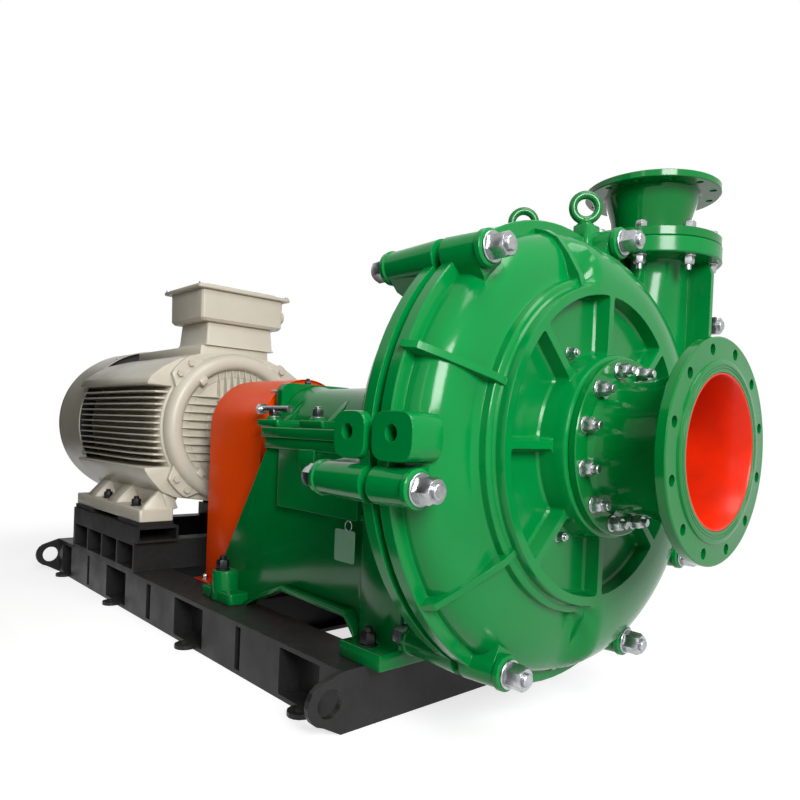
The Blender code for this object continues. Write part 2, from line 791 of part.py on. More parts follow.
def build_impeller():
    """Closed impeller: two shrouds, a hub and vanes between them."""
    impeller = turned(
        "impeller",
        [
            (back(IMPELLER_REAR + 0.020), SHAFT_RADIUS + FIT_GAP),
            (back(IMPELLER_REAR + 0.020), 0.090),
            (back(IMPELLER_REAR), 0.100),
            (back(IMPELLER_REAR), IMPELLER_RADIUS),
            (back(IMPELLER_REAR - SHROUD_THICKNESS), IMPELLER_RADIUS),
            (back(IMPELLER_REAR - SHROUD_THICKNESS - 0.010), 0.090),
            (back(SHAFT_FRONT - 0.030), 0.058),
            (back(SHAFT_FRONT - 0.030), 0.0),
            (back(SHAFT_FRONT - FIT_GAP), 0.0),
            (back(SHAFT_FRONT - FIT_GAP), SHAFT_RADIUS + FIT_GAP),
        ],
        "white_iron",
        segments=16,
    )
    front = turned(
        "impeller_front_shroud",
        [
            (back(IMPELLER_FRONT), IMPELLER_EYE_RADIUS),
            (back(IMPELLER_FRONT), IMPELLER_RADIUS),
            (back(IMPELLER_FRONT + SHROUD_THICKNESS), IMPELLER_RADIUS),
            (back(IMPELLER_FRONT + SHROUD_THICKNESS), IMPELLER_EYE_RADIUS),
        ],
        segments=16,
    )
    vanes = []
    for k in range(IMPELLER_VANES):
        outline = []
        for offset, way in ((0.0, 1), (-9.0, -1)):
            for j in range(5)[::way]:
                radius = 0.105 + (IMPELLER_RADIUS - 0.107) * j / 4
                angle = math.radians(72 * k + offset * (0.12 / radius) - 62 * j / 4)
                outline.append((radius * math.cos(angle), SHAFT_HEIGHT + radius * math.sin(angle)))
        low = back(IMPELLER_REAR - 0.004)
        high = back(IMPELLER_FRONT + 0.004)
        vanes.append(plate(f"impeller_vane_{k + 1}", outline, low, high, "X"))
    join(impeller, *vanes, front)


def build_suction_adapter():
    """Suction adapter: front flange with raised face, taper pipe and casing flange."""
    pipe = turned(
        "suction_adapter",
        [
            (back(0.0), SUCTION_BORE_RADIUS),
            (back(0.0), RAISED_FACE_RADIUS),
            (back(RAISED_FACE_HEIGHT), RAISED_FACE_RADIUS + 0.002),
            (back(RAISED_FACE_HEIGHT), SUCTION_FLANGE_RADIUS),
            (back(SUCTION_FLANGE_THICKNESS), SUCTION_FLANGE_RADIUS),
            (back(SUCTION_FLANGE_THICKNESS), 0.170),
            (back(0.070), 0.160),
            (back(0.140), ADAPTER_PIPE_RADIUS),
            (back(ADAPTER_REAR_FLANGE_FRONT), ADAPTER_PIPE_RADIUS),
            (back(ADAPTER_REAR_FLANGE_FRONT), ADAPTER_REAR_FLANGE_RADIUS),
            (back(ADAPTER_REAR_FACE), ADAPTER_REAR_FLANGE_RADIUS),
            (back(ADAPTER_REAR_FACE), ADAPTER_REAR_BORE),
            (back(0.140), ADAPTER_REAR_BORE + 0.003),
            (back(0.060), SUCTION_BORE_RADIUS - 0.006),
        ],
        "green_enamel",
        segments=28,
    )
    front_holes = rods(
        "suction_flange_holes",
        "X",
        [
            ((back(0.060), y, z), 0.090, SUCTION_HOLE_RADIUS)
            for y, z in ring_points(SUCTION_HOLE_COUNT, SUCTION_BOLT_CIRCLE, 15)
        ],
        segments=8,
    )
    cut(pipe, front_holes)
    outside = LINER_CLEARANCE
    inside = LINER_CLEARANCE + LINING_THICKNESS
    turned(
        "suction_lining",
        [
            (back(0.001), SUCTION_BORE_RADIUS - outside),
            (back(0.060), SUCTION_BORE_RADIUS - 0.006 - outside),
            (back(0.140), ADAPTER_REAR_BORE + 0.003 - outside),
            (back(ADAPTER_REAR_FACE - 0.001), ADAPTER_REAR_BORE - outside),
            (back(ADAPTER_REAR_FACE - 0.001), ADAPTER_REAR_BORE - inside),
            (back(0.140), ADAPTER_REAR_BORE + 0.003 - inside),
            (back(0.060), SUCTION_BORE_RADIUS - 0.006 - inside),
            (back(0.001), SUCTION_BORE_RADIUS - inside),
        ],
        "red_lining",
        segments=28,
    )


def build_discharge_spool():
    """Conical discharge spool between two flanges."""
    middle = (back(SPLIT_FRONT) + back(SPLIT_REAR)) / 2
    spool = turned(
        "discharge_spool",
        [
            (SPOOL_BOTTOM, SPOOL_LOWER_BORE),
            (SPOOL_BOTTOM, DISCHARGE_FLANGE_RADIUS),
            (SPOOL_LOWER_FLANGE_TOP, DISCHARGE_FLANGE_RADIUS),
            (SPOOL_LOWER_FLANGE_TOP, SPOOL_LOWER_RADIUS),
            (SPOOL_UPPER_FLANGE_BOTTOM, SPOOL_UPPER_RADIUS),
            (SPOOL_UPPER_FLANGE_BOTTOM, SPOOL_TOP_FLANGE_RADIUS),
            (SPOOL_TOP, SPOOL_TOP_FLANGE_RADIUS),
            (SPOOL_TOP, SPOOL_UPPER_BORE),
            (SPOOL_UPPER_FLANGE_BOTTOM, SPOOL_UPPER_BORE - 0.003),
        ],
        "green_enamel",
        segments=24,
        axis="Z",
        centre=(middle, DISCHARGE_Y),
    )
    cut(spool, rods("spool_holes", "Z", discharge_holes(middle), segments=8))


def build_tie_bolts():
    """Long tie bolts, each a stud with a nut at both ends."""
    for k, (y, z) in enumerate(TIE_BOLTS):
        height = SHAFT_HEIGHT + z
        reach = TIE_NUT_THICKNESS + TIE_STUD_OVERHANG + FIT_GAP
        start = back(TIE_BOSS_REAR) - reach
        length = TIE_BOSS_REAR - TIE_BOSS_FRONT + 2 * reach
        stud = [((start, y, height), length, TIE_STUD_RADIUS)]
        bolt = rods(f"tie_bolt_{k + 1}", "X", stud, "zinc_steel", segments=8)
        rear_nut = back(TIE_BOSS_REAR) - FIT_GAP - TIE_NUT_THICKNESS
        nuts = rods(
            f"tie_nuts_{k + 1}",
            "X",
            [
                ((back(TIE_BOSS_FRONT) + FIT_GAP, y, height), TIE_NUT_THICKNESS, TIE_NUT_RADIUS),
                ((rear_nut, y, height), TIE_NUT_THICKNESS, TIE_NUT_RADIUS),
            ],
            segments=6,
        )
        join(bolt, nuts)


def build_eyebolts():
    """Lifting eyebolts: shank, collar and ring."""
    for name, place in (("eyebolt_front", EYEBOLT_FRONT), ("eyebolt_rear", EYEBOLT_REAR)):
        x = back(place)
        shank = turned(
            name,
            [
                (EYEBOLT_BOSS_TOP - 0.024, 0.0),
                (EYEBOLT_BOSS_TOP - 0.024, 0.0080),
                (EYEBOLT_BOSS_TOP + FIT_GAP, 0.0080),
                (EYEBOLT_BOSS_TOP + FIT_GAP, 0.0200),
                (EYEBOLT_BOSS_TOP + 0.006, 0.0200),
                (EYEBOLT_BOSS_TOP + 0.016, 0.0095),
                (EYEBOLT_BOSS_TOP + 0.016, 0.0),
            ],
            "green_enamel",
            segments=14,
            axis="Z",
            centre=(x, EYEBOLT_Y),
        )
        circle = bpy.data.curves.new(name + "_ring", "CURVE")
        circle.dimensions = "3D"
        circle.bevel_depth = EYEBOLT_BAR_RADIUS
        circle.bevel_resolution = 1
        circle.use_fill_caps = True
        spline = circle.splines.new("POLY")
        steps = 14
        spline.points.add(steps - 1)
        for k, point in enumerate(spline.points):
            angle = 2 * math.pi * k / steps
            out = EYEBOLT_RING_RADIUS * math.cos(angle)
            away = out * math.sin(-math.radians(EYEBOLT_TURN))
            y = EYEBOLT_Y + out * math.cos(math.radians(EYEBOLT_TURN))
            z = SHAFT_HEIGHT + EYEBOLT_RING_HEIGHT + EYEBOLT_RING_RADIUS * math.sin(angle)
            point.co = (x + away, y, z, 1.0)
        spline.use_cyclic_u = True
        holder = bpy.data.objects.new(name + "_curve", circle)
        CUTTERS.objects.link(holder)
        graph = bpy.context.evaluated_depsgraph_get()
        mesh = bpy.data.meshes.new_from_object(holder.evaluated_get(graph))
        bpy.data.objects.remove(holder, do_unlink=True)
        work = bmesh.new()
        work.from_mesh(mesh)
        bmesh.ops.remove_doubles(work, verts=work.verts, dist=0.00005)
        ring = add(name + "_ring", mesh_of(work, name + "_ring"))
        join(shank, ring)


def build_shaft_line():
    """Pump shaft, sleeve, seal box, packing, gland follower and bearings."""
    turned(
        "pump_shaft",
        [
            (back(SHAFT_FRONT), 0.0),
            (back(SHAFT_FRONT), SHAFT_RADIUS),
            (back(SHAFT_STEP), SHAFT_RADIUS),
            (back(SHAFT_STEP), SHAFT_END_RADIUS),
            (back(SHAFT_REAR), SHAFT_END_RADIUS),
            (back(SHAFT_REAR), 0.0),
        ],
        "bright_steel",
        segments=16,
    )
    ring("shaft_sleeve", SLEEVE_FRONT, SLEEVE_REAR, SHAFT_RADIUS + FIT_GAP, SLEEVE_RADIUS, "bright_steel", 16)
    turned(
        "stuffing_box",
        [
            (back(SEAL_BOX_FRONT), SLEEVE_RADIUS + 0.002),
            (back(SEAL_BOX_FRONT), SEAL_BOX_RADIUS),
            (back(CASING_REAR_FACE + 0.0006), SEAL_BOX_RADIUS),
            (back(CASING_REAR_FACE + 0.0006), SEAL_FLANGE_RADIUS),
            (back(CASING_REAR_FACE + SEAL_FLANGE_THICKNESS), SEAL_FLANGE_RADIUS),
            (back(CASING_REAR_FACE + SEAL_FLANGE_THICKNESS), SEAL_BOX_RADIUS),
            (back(SEAL_BOX_REAR), SEAL_BOX_RADIUS),
            (back(SEAL_BOX_REAR), PACKING_RADIUS + SEAL_CLEARANCE),
            (back(PACKING_FRONT - 0.001), PACKING_RADIUS + SEAL_CLEARANCE),
            (back(PACKING_FRONT - 0.001), SLEEVE_RADIUS + 0.002),
        ],
        "green_enamel",
        segments=16,
    )
    packing_bore = running_bore(SLEEVE_RADIUS)
    ring("packing", PACKING_FRONT, PACKING_REAR, packing_bore, PACKING_RADIUS, "packing_yarn", 16)
    turned(
        "gland_follower",
        [
            (back(GLAND_FRONT), SLEEVE_RADIUS + 0.002),
            (back(GLAND_FRONT), PACKING_RADIUS),
            (back(GLAND_FLANGE), PACKING_RADIUS),
            (back(GLAND_FLANGE), GLAND_RADIUS),
            (back(GLAND_REAR), GLAND_RADIUS),
            (back(GLAND_REAR), SLEEVE_RADIUS + 0.002),
        ],
        "white_iron",
        segments=16,
    )
    housing = turned(
        "bearing_housing",
        [
            (back(HOUSING_FRONT), HOUSING_BORE),
            (back(HOUSING_FRONT), HOUSING_RADIUS),
            (back(HOUSING_FRONT + 0.100), HOUSING_RADIUS),
            (back(HOUSING_FRONT + 0.115), HOUSING_RADIUS - 0.016),
            (back(HOUSING_REAR - 0.115), HOUSING_RADIUS - 0.016),
            (back(HOUSING_REAR - 0.100), HOUSING_RADIUS),
            (back(HOUSING_REAR), HOUSING_RADIUS),
            (back(HOUSING_REAR), HOUSING_BORE),
        ],
        "green_enamel",
        segments=16,
    )
    feet = []
    for near, far in ((0.985, 1.105), (1.215, 1.335)):
        for side in (-1, 1):
            feet.append(
                (
                    back(far),
                    back(near),
                    side * 0.125,
                    side * 0.235,
                    SHAFT_HEIGHT + BRACKET_TOP + FIT_GAP,
                    SHAFT_HEIGHT + BRACKET_TOP + 0.030,
                )
            )
    lug = (
        back(1.290),
        back(1.260),
        -0.235,
        -0.130,
        SHAFT_HEIGHT + BRACKET_TOP + 0.020,
        SHAFT_HEIGHT + BRACKET_TOP + SCREW_HEIGHT + 0.026,
    )
    join(housing, blocks("bearing_housing_feet", feet), blocks("adjusting_screw_lug", [lug]))
    screw_start = (back(1.345), SCREW_Y, SHAFT_HEIGHT + BRACKET_TOP + SCREW_HEIGHT)
    cut(housing, rods("adjusting_screw_hole", "X", [(screw_start, 0.150, 0.0114)], segments=12))
    # Covers fit with a clearance round the shaft
    ring(
        "bearing_cover_front",
        HOUSING_FRONT - COVER_THICKNESS,
        HOUSING_FRONT - FIT_GAP,
        SHAFT_RADIUS + 0.0015,
        COVER_RADIUS,
        "green_enamel",
        16,
    )
    ring(
        "bearing_cover_rear",
        HOUSING_REAR + FIT_GAP,
        HOUSING_REAR + COVER_THICKNESS,
        SHAFT_RADIUS + 0.0015,
        COVER_RADIUS,
        "green_enamel",
        16,
    )
    for name, middle in (("pump_bearing_front", FRONT_BEARING_X), ("pump_bearing_rear", REAR_BEARING_X)):
        ring(
            name,
            middle - BEARING_WIDTH / 2,
            middle + BEARING_WIDTH / 2,
            running_bore(SHAFT_RADIUS),
            HOUSING_BORE - FIT_GAP,
            "bright_steel",
            16,
        )


def running_bore(shaft):
    """The 16-sided bore in which a 16-sided shaft turns with a clearance all the way round."""
    return (shaft + RUNNING_CLEARANCE) / math.cos(math.pi / 16)


def ring(name, front, rear, inner, outer, paint, segments=16):
    """A plain ring about the shaft."""
    return turned(
        name,
        [
            (back(front), inner),
            (back(front), outer),
            (back(rear), outer),
            (back(rear), inner),
        ],
        paint,
        segments=segments,
    )


def build_bracket():
    """Cast bearing bracket: top table, cheeks, casing ring and feet."""
    low = SKID_HEIGHT + FIT_GAP
    table = SHAFT_HEIGHT + BRACKET_TOP
    wide = BRACKET_HALF_WIDTH
    bracket = blocks(
        "pump_bracket",
        [
            (
                back(BRACKET_TOP_REAR),
                back(BRACKET_RING_REAR) + 0.002,
                -wide,
                wide,
                table - BRACKET_TOP_THICKNESS,
                table,
            )
        ],
        "green_enamel",
    )
    collar = rods(
        "bracket_ring",
        "X",
        [
            (
                (back(BRACKET_RING_REAR), 0, SHAFT_HEIGHT),
                BRACKET_RING_REAR - BRACKET_RING_FRONT - FIT_GAP,
                BRACKET_RING_RADIUS,
            )
        ],
        segments=32,
    )
    cheek_outline = [
        (back(BRACKET_TOP_REAR) + 0.002, table - 0.010),
        (back(BRACKET_TOP_REAR) + 0.002, table - BRACKET_TOP_THICKNESS - 0.004),
        (back(BRACKET_FOOT_REAR) + 0.010, low + 0.095),
        (back(BRACKET_FOOT_REAR) + 0.010, low + 0.010),
        (back(BRACKET_FOOT_FRONT) - 0.030, low + 0.010),
        (back(1.270), low + 0.080),
        (back(1.150), low + 0.145),
        (back(1.020), low + 0.160),
        (back(0.900), low + 0.130),
        (back(0.810), low + 0.070),
        (back(BRACKET_LEG_REAR) + 0.004, low + 0.010),
        (back(BRACKET_LEG_FRONT + 0.010), low + 0.010),
        (back(BRACKET_LEG_FRONT + 0.010), table - 0.010),
    ]
    cheeks = []
    feet = []
    for side, name in ((-1, "left"), (1, "right")):
        a = side * (wide - 0.020)
        b = a - side * BRACKET_CHEEK
        cheeks.append(plate(f"bracket_cheek_{name}", cheek_outline, min(a, b), max(a, b), "Y"))
        for near, far, inner in (
            (BRACKET_FOOT_FRONT, BRACKET_FOOT_REAR, wide - 0.038),
            (BRACKET_LEG_FRONT, BRACKET_LEG_REAR, wide - 0.110),
        ):
            c = side * (wide + BRACKET_FOOT_OVERHANG)
            d = side * inner
            feet.append((back(far), back(near), min(c, d), max(c, d), low, low + BRACKET_FOOT_THICKNESS))
    foot_blocks = blocks("bracket_feet", feet)
    floor = SHAFT_HEIGHT + BRACKET_BOX_BOTTOM
    pan = blocks(
        "bracket_pan",
        [(back(1.180), back(BRACKET_RING_REAR) + 0.004, -wide + 0.024, wide - 0.024, floor, floor + 0.018)],
    )
    rear_wall = blocks(
        "bracket_rear_wall",
        [(back(1.186), back(1.166), -wide + 0.026, wide - 0.026, floor + 0.004, table - 0.012)],
    )
    leg = blocks(
        "bracket_front_wall",
        [(back(0.776), back(0.754), -wide + 0.028, wide - 0.028, low + 0.020, floor + 0.010)],
    )
    join(bracket, collar, *cheeks, foot_blocks, pan, rear_wall, leg)
    slot = blocks(
        "bracket_table_slot",
        [(back(1.300), back(0.840), -0.172, 0.172, table - 0.200, table + 0.100)],
    )
    seal_start = (back(0.900), 0, SHAFT_HEIGHT)
    seal_space = rods("bracket_seal_space", "X", [(seal_start, 0.400, 0.225)], segments=24)
    trough = rods("bracket_trough", "X", [((back(1.300), 0, SHAFT_HEIGHT), 0.500, 0.178)], segments=24)
    bolt_holes = []
    for side in (-1, 1):
        for place in (0.700, 1.430):
            bolt_holes.append(((back(place), side * (wide + 0.012), low - 0.020), 0.100, 0.0135))
    holes = rods("bracket_foot_holes", "Z", bolt_holes, segments=8)
    cut(bracket, slot, trough, seal_space, holes)
    screw = rods(
        "adjusting_screw",
        "X",
        [((back(1.345), SCREW_Y, SHAFT_HEIGHT + BRACKET_TOP + SCREW_HEIGHT), 0.150, 0.011)],
        "zinc_steel",
        segments=12,
    )
    join(
        screw,
        rods(
            "adjusting_screw_head",
            "X",
            [((back(1.362), SCREW_Y, SHAFT_HEIGHT + BRACKET_TOP + SCREW_HEIGHT), 0.0175, 0.019)],
            segments=6,
        ),
    )


def build_coupling():
    """Pin coupling halves and the arched guard over them."""
    split = COUPLING_PUMP_FRONT + COUPLING_HALF_LENGTH
    pump = ring(
        "coupling_pump_half",
        COUPLING_PUMP_FRONT,
        split,
        SHAFT_END_RADIUS + FIT_GAP,
        COUPLING_RADIUS,
        "white_iron",
        16,
    )
    pin_points = ring_points(COUPLING_PIN_COUNT, COUPLING_PIN_CIRCLE, 0)
    holes = rods(
        "coupling_pin_holes",
        "X",
        [((back(split + 0.010), y, z), 0.070, COUPLING_HOLE_RADIUS) for y, z in pin_points],
        segments=8,
    )
    cut(pump, holes)
    motor = ring(
        "coupling_motor_half",
        split + COUPLING_GAP,
        split + COUPLING_GAP + COUPLING_HALF_LENGTH,
        MOTOR_SHAFT_RADIUS + FIT_GAP,
        COUPLING_RADIUS,
        "white_iron",
        16,
    )
    pins = rods(
        "coupling_pins",
        "X",
        [((back(split + 0.030), y, z), 0.080, COUPLING_PIN_RADIUS) for y, z in pin_points],
        segments=8,
    )
    join(motor, pins)
    half = GUARD_HALF_WIDTH
    centre = SHAFT_HEIGHT + GUARD_TOP - half
    low = SKID_HEIGHT + FIT_GAP
    guard = plate(
        "coupling_guard",
        arch_outline(half, centre, low, GUARD_FOOT_WIDTH, GUARD_SHEET),
        back(GUARD_REAR),
        back(GUARD_FRONT),
        "X",
        "orange_enamel",
    )
    middle = back((GUARD_FRONT + GUARD_REAR) / 2)
    hollow = arch_points(half - GUARD_SHEET, centre, low - 0.050)
    front_mouth = arch_points(half - 0.020, centre, low - 0.060)
    rear_mouth = arch_points(half - 0.040, centre, low - 0.060)
    cut(
        guard,
        plate("guard_hollow", hollow, back(GUARD_REAR) + GUARD_SHEET, back(GUARD_FRONT) - GUARD_SHEET, "X"),
        plate("guard_front_mouth", front_mouth, middle, back(GUARD_FRONT) + 0.050, "X"),
        plate("guard_rear_mouth", rear_mouth, back(GUARD_REAR) - 0.050, middle, "X"),
    )


def arch_points(half, centre, low, steps=12):
    """Points of an arch from the left foot over the top to the right foot."""
    points = [(-half, low)]
    for k in range(steps + 1):
        angle = math.pi - math.pi * k / steps
        points.append((half * math.cos(angle), centre + half * math.sin(angle)))
    points.append((half, low))
    return points


def arch_outline(half, centre, low, foot, sheet):
    """A filled arch with feet turned outward."""
    outline = [(-half - foot, low), (-half - foot, low + sheet)]
    outline += arch_points(half, centre, low + sheet)
    outline += [(half + foot, low + sheet), (half + foot, low)]
    return outline


def build_motor():
    """Foot-mounted motor: frame, shields, core, rotor, fan, cowl and terminal box."""
    low = SHAFT_HEIGHT - MOTOR_CENTRE_HEIGHT
    frame = turned(
        "motor_frame",
        [
            (back(MOTOR_BODY_FRONT), MOTOR_BORE_RADIUS),
            (back(MOTOR_BODY_FRONT), MOTOR_BODY_RADIUS),
            (back(MOTOR_BODY_REAR), MOTOR_BODY_RADIUS),
            (back(MOTOR_BODY_REAR), MOTOR_BORE_RADIUS),
        ],
        "motor_grey",
        segments=28,
    )
    fins = []
    for side in (-1, 1):
        for k in range(MOTOR_FIN_COUNT):
            z = SHAFT_HEIGHT + (k - (MOTOR_FIN_COUNT - 1) / 2) * MOTOR_FIN_PITCH
            tip = side * MOTOR_FIN_TIP_Y
            root = side * 0.240
            fins.append(
                (
                    back(MOTOR_BODY_REAR) + 0.002,
                    back(MOTOR_BODY_FRONT) - 0.010,
                    min(tip, root),
                    max(tip, root),
                    z - MOTOR_FIN_THICKNESS / 2,
                    z + MOTOR_FIN_THICKNESS / 2,
                )
            )
    feet = []
    legs = []
    for side in (-1, 1):
        outer = side * MOTOR_FOOT_HALF_WIDTH
        inner = side * (MOTOR_FOOT_HALF_WIDTH - MOTOR_FOOT_WIDTH)
        for start in (MOTOR_FOOT_FRONT + 0.010, MOTOR_FOOT_REAR - MOTOR_FOOT_LENGTH):
            feet.append(
                (
                    back(start + MOTOR_FOOT_LENGTH),
                    back(start),
                    min(outer, inner),
                    max(outer, inner),
                    low + FIT_GAP,
                    low + MOTOR_FOOT_THICKNESS,
                )
            )
            for rib in (0.060, 0.150):
                if back(start + rib + 0.010) < back(MOTOR_BODY_FRONT):
                    legs.append(
                        (
                            back(start + rib + 0.010),
                            back(start + rib - 0.010),
                            side * 0.215,
                            side * 0.330,
                            low + MOTOR_FOOT_THICKNESS - 0.006,
                            SHAFT_HEIGHT - 0.170,
                        )
                    )
    join(frame, blocks("motor_side_fins", fins), blocks("motor_feet", feet), blocks("motor_foot_ribs", legs))
    lift = blocks(
        "motor_top_pad",
        [
            (
                back(BOX_CENTRE_X) - RISER_HALF_X - 0.015,
                back(MOTOR_BODY_FRONT) - 0.004,
                BOX_CENTRE_Y - RISER_HALF_Y + 0.010,
                BOX_CENTRE_Y + RISER_HALF_Y - 0.010,
                SHAFT_HEIGHT + 0.240,
                SHAFT_HEIGHT + MOTOR_PAD_TOP,
            )
        ],
    )
    bolt_holes = []
    for side in (-1, 1):
        for place in (MOTOR_FOOT_FRONT + 0.040, MOTOR_FOOT_REAR - 0.030):
            bolt_holes.append(((back(place), side * 0.330, low - 0.020), 0.100, 0.0140))
    stator_space = rods(
        "motor_stator_space", "X", [((back(2.700), 0, SHAFT_HEIGHT), 0.850, MOTOR_BORE_RADIUS)], segments=28
    )
    join(frame, lift)
    cut(frame, stator_space, rods("motor_foot_holes", "Z", bolt_holes, segments=8))
    turned(
        "motor_shield_front",
        [
            (back(SHIELD_FRONT - 0.020), MOTOR_SHAFT_RADIUS + 0.0015),
            (back(SHIELD_FRONT - 0.020), SHIELD_HUB_RADIUS),
            (back(SHIELD_FRONT), SHIELD_HUB_RADIUS + 0.010),
            (back(SHIELD_FRONT + 0.016), 0.250),
            (back(SHIELD_FRONT), 0.262),
            (back(SHIELD_FRONT), SHIELD_RADIUS),
            (back(SHIELD_FRONT + 0.030), SHIELD_FLANGE_RADIUS),
            (back(MOTOR_BODY_FRONT) + FIT_GAP, SHIELD_FLANGE_RADIUS),
            (back(MOTOR_BODY_FRONT) + FIT_GAP, 0.240),
            (back(SHIELD_FRONT + 0.036), 0.230),
            (back(SHIELD_FRONT + 0.036), MOTOR_BEARING_RADIUS + 0.022),
            (back(SHIELD_FRONT + 0.065), MOTOR_BEARING_RADIUS + 0.022),
            (back(SHIELD_FRONT + 0.065), MOTOR_BEARING_RADIUS + FIT_GAP),
            (back(SHIELD_FRONT + 0.004), MOTOR_BEARING_RADIUS + FIT_GAP),
            (back(SHIELD_FRONT + 0.004), MOTOR_SHAFT_RADIUS + 0.0015),
        ],
        "motor_grey",
        segments=16,
    )
    shield = turned(
        "motor_shield_rear",
        [
            (back(MOTOR_BODY_REAR) - FIT_GAP, 0.240),
            (back(MOTOR_BODY_REAR) - FIT_GAP, 0.298),
            (back(MOTOR_BODY_REAR + 0.030), 0.298),
            (back(MOTOR_BODY_REAR + 0.050), 0.120),
            (back(MOTOR_BODY_REAR + 0.064), 0.110),
            (back(MOTOR_BODY_REAR + 0.064), MOTOR_SHAFT_RADIUS + 0.0015),
            (back(MOTOR_BODY_REAR + 0.044), MOTOR_SHAFT_RADIUS + 0.0015),
            (back(MOTOR_BODY_REAR + 0.044), MOTOR_BEARING_RADIUS + FIT_GAP),
            (back(MOTOR_BODY_REAR - 0.010), MOTOR_BEARING_RADIUS + FIT_GAP),
            (back(MOTOR_BODY_REAR - 0.010), MOTOR_BEARING_RADIUS + 0.020),
            (back(MOTOR_BODY_REAR + 0.020), MOTOR_BEARING_RADIUS + 0.022),
        ],
        "motor_grey",
        segments=16,
    )
    # Four ears of the rear shield reach out to carry the cowl
    ears = turned(
        "cowl_ears",
        [
            (back(COWL_FRONT + 0.004), 0.270),
            (back(COWL_FRONT + 0.004), COWL_RADIUS - COWL_SHEET - FIT_GAP),
            (back(COWL_FRONT + 0.024), COWL_RADIUS - COWL_SHEET - FIT_GAP),
            (back(COWL_FRONT + 0.024), 0.270),
        ],
        segments=28,
    )
    far = COWL_RADIUS + 0.050
    reach = (back(COWL_FRONT + 0.040), back(COWL_FRONT - 0.010))
    upright = blocks("cowl_air_upright", [(*reach, -0.175, 0.175, SHAFT_HEIGHT - far, SHAFT_HEIGHT + far)])
    level = blocks("cowl_air_level", [(*reach, -far, far, SHAFT_HEIGHT - 0.175, SHAFT_HEIGHT + 0.175)])
    cut(ears, upright, level)
    rim = turned(
        "rear_shield_rim",
        [
            (back(MOTOR_BODY_REAR + 0.010), 0.255),
            (back(MOTOR_BODY_REAR + 0.010), 0.296),
            (back(COWL_FRONT + 0.024), 0.296),
            (back(COWL_FRONT + 0.024), 0.255),
        ],
        segments=16,
    )
    join(shield, rim, ears)
    stator_outside = MOTOR_BORE_RADIUS - FIT_GAP
    ring("stator_core", STATOR_FRONT, STATOR_REAR, STATOR_BORE, stator_outside, "electrical_steel", 28)
    ring("rotor_core", STATOR_FRONT, STATOR_REAR, 0.062 + FIT_GAP, ROTOR_RADIUS, "electrical_steel", 16)
    turned(
        "motor_shaft",
        [
            (back(MOTOR_SHAFT_FRONT), 0.0),
            (back(MOTOR_SHAFT_FRONT), MOTOR_SHAFT_RADIUS),
            (back(STATOR_FRONT - 0.060), MOTOR_SHAFT_RADIUS),
            (back(STATOR_FRONT - 0.060), 0.062),
            (back(STATOR_REAR + 0.060), 0.062),
            (back(STATOR_REAR + 0.060), MOTOR_SHAFT_RADIUS),
            (back(MOTOR_SHAFT_REAR), MOTOR_SHAFT_RADIUS),
            (back(MOTOR_SHAFT_REAR), 0.0),
        ],
        "bright_steel",
        segments=16,
    )
    ring(
        "motor_bearing_front",
        SHIELD_FRONT + 0.010,
        SHIELD_FRONT + 0.060,
        running_bore(MOTOR_SHAFT_RADIUS),
        MOTOR_BEARING_RADIUS,
        "bright_steel",
        16,
    )
    ring(
        "motor_bearing_rear",
        MOTOR_BODY_REAR - 0.008,
        MOTOR_BODY_REAR + 0.040,
        running_bore(MOTOR_SHAFT_RADIUS),
        MOTOR_BEARING_RADIUS,
        "bright_steel",
        16,
    )
    build_fan_and_cowl()
    build_terminal_box()


def build_fan_and_cowl():
    """Radial fan on the motor shaft and the cowl round it."""
    fan = turned(
        "motor_fan",
        [
            (back(FAN_FRONT), MOTOR_SHAFT_RADIUS + FIT_GAP),
            (back(FAN_FRONT), FAN_RADIUS),
            (back(FAN_FRONT + 0.006), FAN_RADIUS),
            (back(FAN_FRONT + 0.010), 0.080),
            (back(FAN_REAR), 0.075),
            (back(FAN_REAR), MOTOR_SHAFT_RADIUS + FIT_GAP),
        ],
        "charcoal_paint",
        segments=16,
    )
    blades = bmesh.new()
    for k in range(FAN_BLADES):
        spin = Matrix.Rotation(2 * math.pi * k / FAN_BLADES, 4, "X")
        turn = Matrix.Translation((0, 0, SHAFT_HEIGHT)) @ spin
        place = Matrix.Translation((back((FAN_FRONT + FAN_REAR) / 2 + 0.002), 0, 0.156))
        size = Matrix.Diagonal((FAN_REAR - FAN_FRONT - 0.004, 0.006, 0.170, 1.0))
        bmesh.ops.create_cube(blades, size=1.0, matrix=turn @ place @ size)
    join(fan, add("fan_blades", mesh_of(blades, "fan_blades")))
    turned(
        "motor_cowl",
        [
            (back(COWL_FRONT), COWL_RADIUS - COWL_SHEET),
            (back(COWL_FRONT), COWL_RADIUS),
            (back(COWL_REAR - 0.060), COWL_RADIUS),
            (back(COWL_REAR - 0.018), COWL_RADIUS - 0.018),
            (back(COWL_REAR), COWL_RADIUS - 0.060),
            (back(COWL_REAR), COWL_INLET_RADIUS),
            (back(COWL_REAR - COWL_SHEET), COWL_INLET_RADIUS),
            (back(COWL_REAR - COWL_SHEET), COWL_RADIUS - 0.062),
            (back(COWL_REAR - 0.022), COWL_RADIUS - 0.023),
            (back(COWL_REAR - 0.062), COWL_RADIUS - COWL_SHEET),
        ],
        "motor_grey",
        segments=28,
    )


